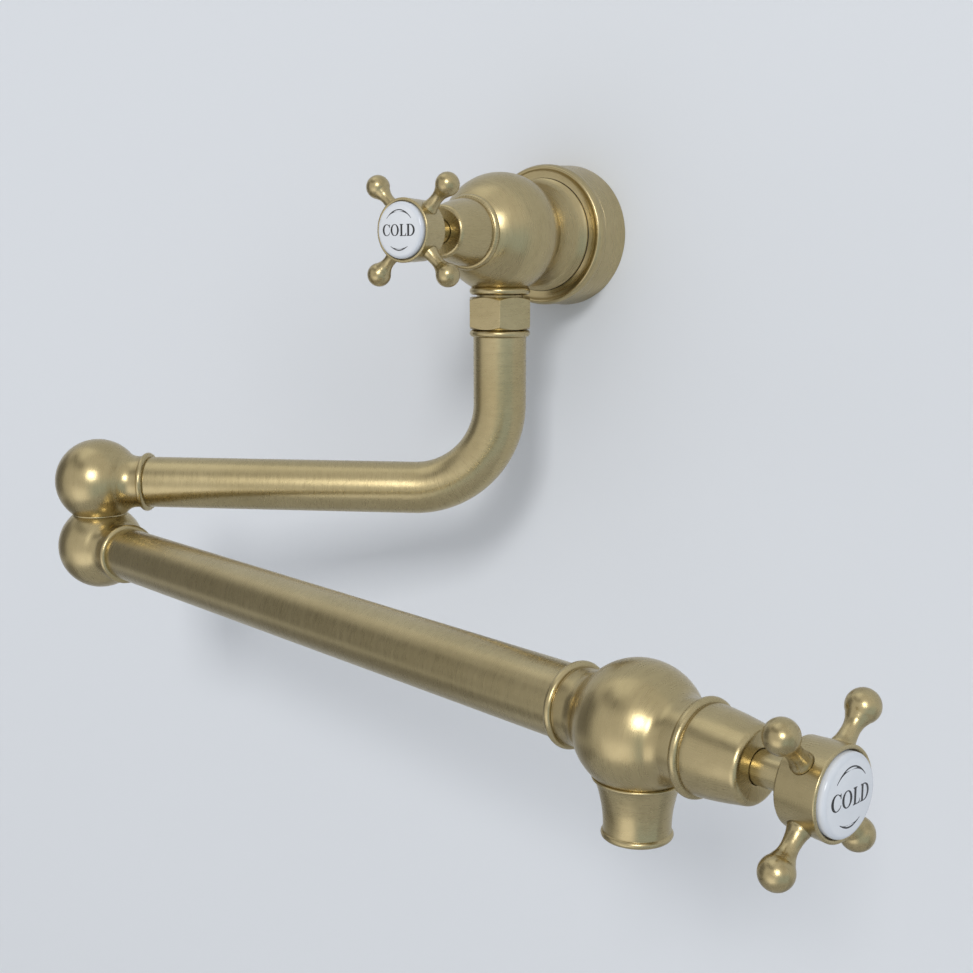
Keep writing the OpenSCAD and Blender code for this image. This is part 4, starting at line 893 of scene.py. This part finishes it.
finishes = {
    "rubber": speckled(
        "nitrile_rubber", (0.012, 0.012, 0.012), (0.03, 0.03, 0.031), 900.0, 0.6, 0.0, 0.00004),
    "steel": speckled(
        "machined_steel", (0.48, 0.48, 0.47), (0.64, 0.64, 0.63), 700.0, 0.34, 1.0, 0.00003),
    "alumina": speckled(
        "lapped_alumina", (0.72, 0.69, 0.62), (0.84, 0.81, 0.74), 1500.0, 0.25, 0.0, 0.00001),
    "plastic": speckled(
        "moulded_acetal", (0.66, 0.67, 0.67), (0.74, 0.75, 0.75), 400.0, 0.42, 0.0, 0.00003),
    "plain_brass": bare_brass,
    "satin_brass": brushed,
    "white_ceramic": white_glaze,
}
for row in frame["record"]["subparts"]:
    solid = frame["nodes"][row["node"]]
    solid.data.materials.clear()
    solid.data.materials.append(finishes[row["material_slot"]])

# The wall stands behind the part and is not part of it, nor is the floor below. The wall is painted pale
# grey, a little blue, and is left open from behind, so that the back of the part can be looked at.
# The sheets' sizes are in metres.
sheet_left, sheet_right, wall_low, wall_high = -0.95, 1.6, -0.8, 1.6
floor_front, floor_at = -1.2, -1.1


def paint(name, tone, open_behind):
    """Matt paint with a fine roller texture. Where it is open behind, its back lets everything through,
    and to mirrored rays it grows darker from 0.2 m to 0.48 m below the zero height, as in a dim room."""
    made, tree, shader, place = blank(name)
    roller = noise(tree, place, 350.0, 3.0)
    bump = node(tree, "Bump", {"Height": roller, "Strength": 0.03, "Distance": 0.0002}).outputs[0]
    tree.links.new(bump, shader.inputs["Normal"])
    shader.inputs["Base Color"].default_value = (*tone, 1)
    shader.inputs["Roughness"].default_value = 0.9
    shader.inputs["Specular IOR Level"].default_value = 0.1
    if open_behind:
        height = node(tree, "SeparateXYZ", {"Vector": place}).outputs["Z"]
        dim = remap(tree, height, -0.48, -0.2, 0.55, 0.93)
        mirrored = node(tree, "LightPath").outputs["Is Glossy Ray"]
        share = remap(tree, mirrored, 0.0, 1.0, 1.0, dim)
        seen = node(tree, "VectorMath", {0: tone, 1: share}, operation="MULTIPLY").outputs[0]
        tree.links.new(seen, shader.inputs["Base Color"])
        back = node(tree, "NewGeometry").outputs["Backfacing"]
        clear = node(tree, "BsdfTransparent").outputs[0]
        both = node(tree, "MixShader", {0: back, 1: shader.outputs[0], 2: clear})
        tree.links.new(both.outputs[0], tree.nodes["Material Output"].inputs[0])
    return made


def sheet_of(name, first, last, finish):
    """A flat sheet between two opposite corners, with two of its sides along X."""
    corners = [first, (last[0], *first[1:]), last, (first[0], *last[1:])]
    mesh = bpy.data.meshes.new(name)
    mesh.from_pydata(corners, [], [[0, 1, 2, 3]])
    mesh.materials.append(finish)
    made = placed(name, mesh)


wall_paint = paint("wall_paint", (0.675, 0.695, 0.725), True)
floor_paint = paint("floor_paint", (0.50, 0.51, 0.53), False)
sheet_of("wall", (sheet_left, 0, wall_low), (sheet_right, 0, wall_high), wall_paint)
sheet_of("floor", (sheet_left, floor_front, floor_at), (sheet_right, 0, floor_at), floor_paint)

# The light is a studio's: a pale room with soft panels in it, seen by the metal as broad patches, and
# a large soft lamp above and to the right of straight ahead. The lamp is made of two: one lights what is
# matt, the other only shines in the metal. A patch has the turns to the right of straight ahead and the
# rises that it lies between, the width of its soft edge, all in degrees, its strength and its colour.
lamp_aim = (0.03, -0.13, -0.08)
low_tone, high_tone, seen_tone = (0.60, 0.615, 0.62), (0.76, 0.765, 0.77), (0.67, 0.69, 0.73)
patches = {
    "ceiling": ((-135, -25), (50, 84), 22, 1.12, (0.98, 1, 1.01)),
    "wide panel": ((-44, 18), (-44, 30), 24, 0.75, (1, 1, 1.01)),
    "panel core": ((-30, 20), (-46, -12), 22, 1.35, (1, 1, 1.02)),
    "dark left": ((-98, -57), (-20, 28), 14, 0.2, (1, 1, 1)),
    "dark above": ((-76, 0), (35, 52), 13, 0.3, (1, 1, 1)),
    "dark below": ((-124, -54), (-54, -25), 13, 0.22, (1, 1, 1)),
    "cool patch": ((26, 106), (-46, 8), 30, 0.64, (0.83, 0.99, 1.13)),
}
world = bpy.data.worlds.new("studio")
bpy.context.scene.world = world
world.use_nodes = True
sky = world.node_tree
sky.nodes.clear()


def soft_band(value, limits, soft):
    """One between the limits, and nought beyond, with an edge that is soft degrees wide."""
    middle, half = (limits[0] + limits[1]) / 2, (limits[1] - limits[0]) / 2
    off = sums(sky, "ABSOLUTE", sums(sky, "SUBTRACT", value, middle))
    return remap(sky, off, half + soft / 2, half - soft / 2, ease="SMOOTHSTEP")


def panel_lamp(name, turn, rise, distance, size, power, hidden_from):
    """A soft square lamp that faces the part: turn is its angle to the right of straight ahead and rise
    its height, both in degrees. The rays named hidden_from don't see it."""
    data = bpy.data.lights.new(name, "AREA")
    data.shape, data.size, data.size_y, data.energy = "RECTANGLE", size, size, power
    lamp = placed(name, data)
    t, e = math.radians(turn), math.radians(rise)
    way = np.array([math.sin(t) * math.cos(e), -math.cos(t) * math.cos(e), math.sin(e)])
    lamp.location = np.array(lamp_aim) + way * distance
    lamp.rotation_euler = (math.radians(90 - rise), 0, math.radians(turn))
    lamp.visible_camera = False
    setattr(lamp, "visible_" + hidden_from, False)


ray = node(sky, "SeparateXYZ", {0: node(sky, "TexCoord").outputs["Generated"]})
ahead = sums(sky, "MULTIPLY", ray.outputs[1], -1.0)
turn_of = sums(sky, "MULTIPLY", sums(sky, "ARCTAN2", ray.outputs[0], ahead), 180 / math.pi)
rise_of = sums(sky, "MULTIPLY", sums(sky, "ARCSINE", ray.outputs[2]), 180 / math.pi)
tone = blend(sky, remap(sky, rise_of, -50.0, 30.0, ease="SMOOTHSTEP"), low_tone, high_tone)
for turns, rises, soft, strength, colour in patches.values():
    mask = sums(sky, "MULTIPLY", soft_band(turn_of, turns, soft), soft_band(rise_of, rises, soft))
    tone = blend(sky, mask, tone, tuple(strength * c for c in colour))
seen = node(sky, "LightPath").outputs["Is Camera Ray"]
tone = blend(sky, seen, tone, seen_tone)
studio = node(sky, "Background", {0: tone, 1: 1.0})
sky.links.new(studio.outputs[0], node(sky, "OutputWorld").inputs[0])
panel_lamp("key_shade", 24, 28, 9.0, 1.85, 310.0, "glossy")
panel_lamp("key_shine", 29, 23.5, 4.3, 1.4, 54.0, "diffuse")

# The camera stands where the photograph's did, found from the part's own outlines. It has a 50 mm lens
# on a sensor 36 mm wide, stands about level with the upper valve and looks a little down.
camera_data = bpy.data.cameras.new("camera")
camera_data.lens, camera_data.sensor_width = 50.0, 36.0
camera_data.clip_start = 0.01
camera = placed("camera", camera_data)
camera.location = (0.32173, -0.51706, -0.01292)
camera.rotation_euler = (math.radians(80.7), 0, math.radians(35.18))
bpy.context.scene.camera = camera
bpy.context.scene.view_settings.view_transform = "Standard"
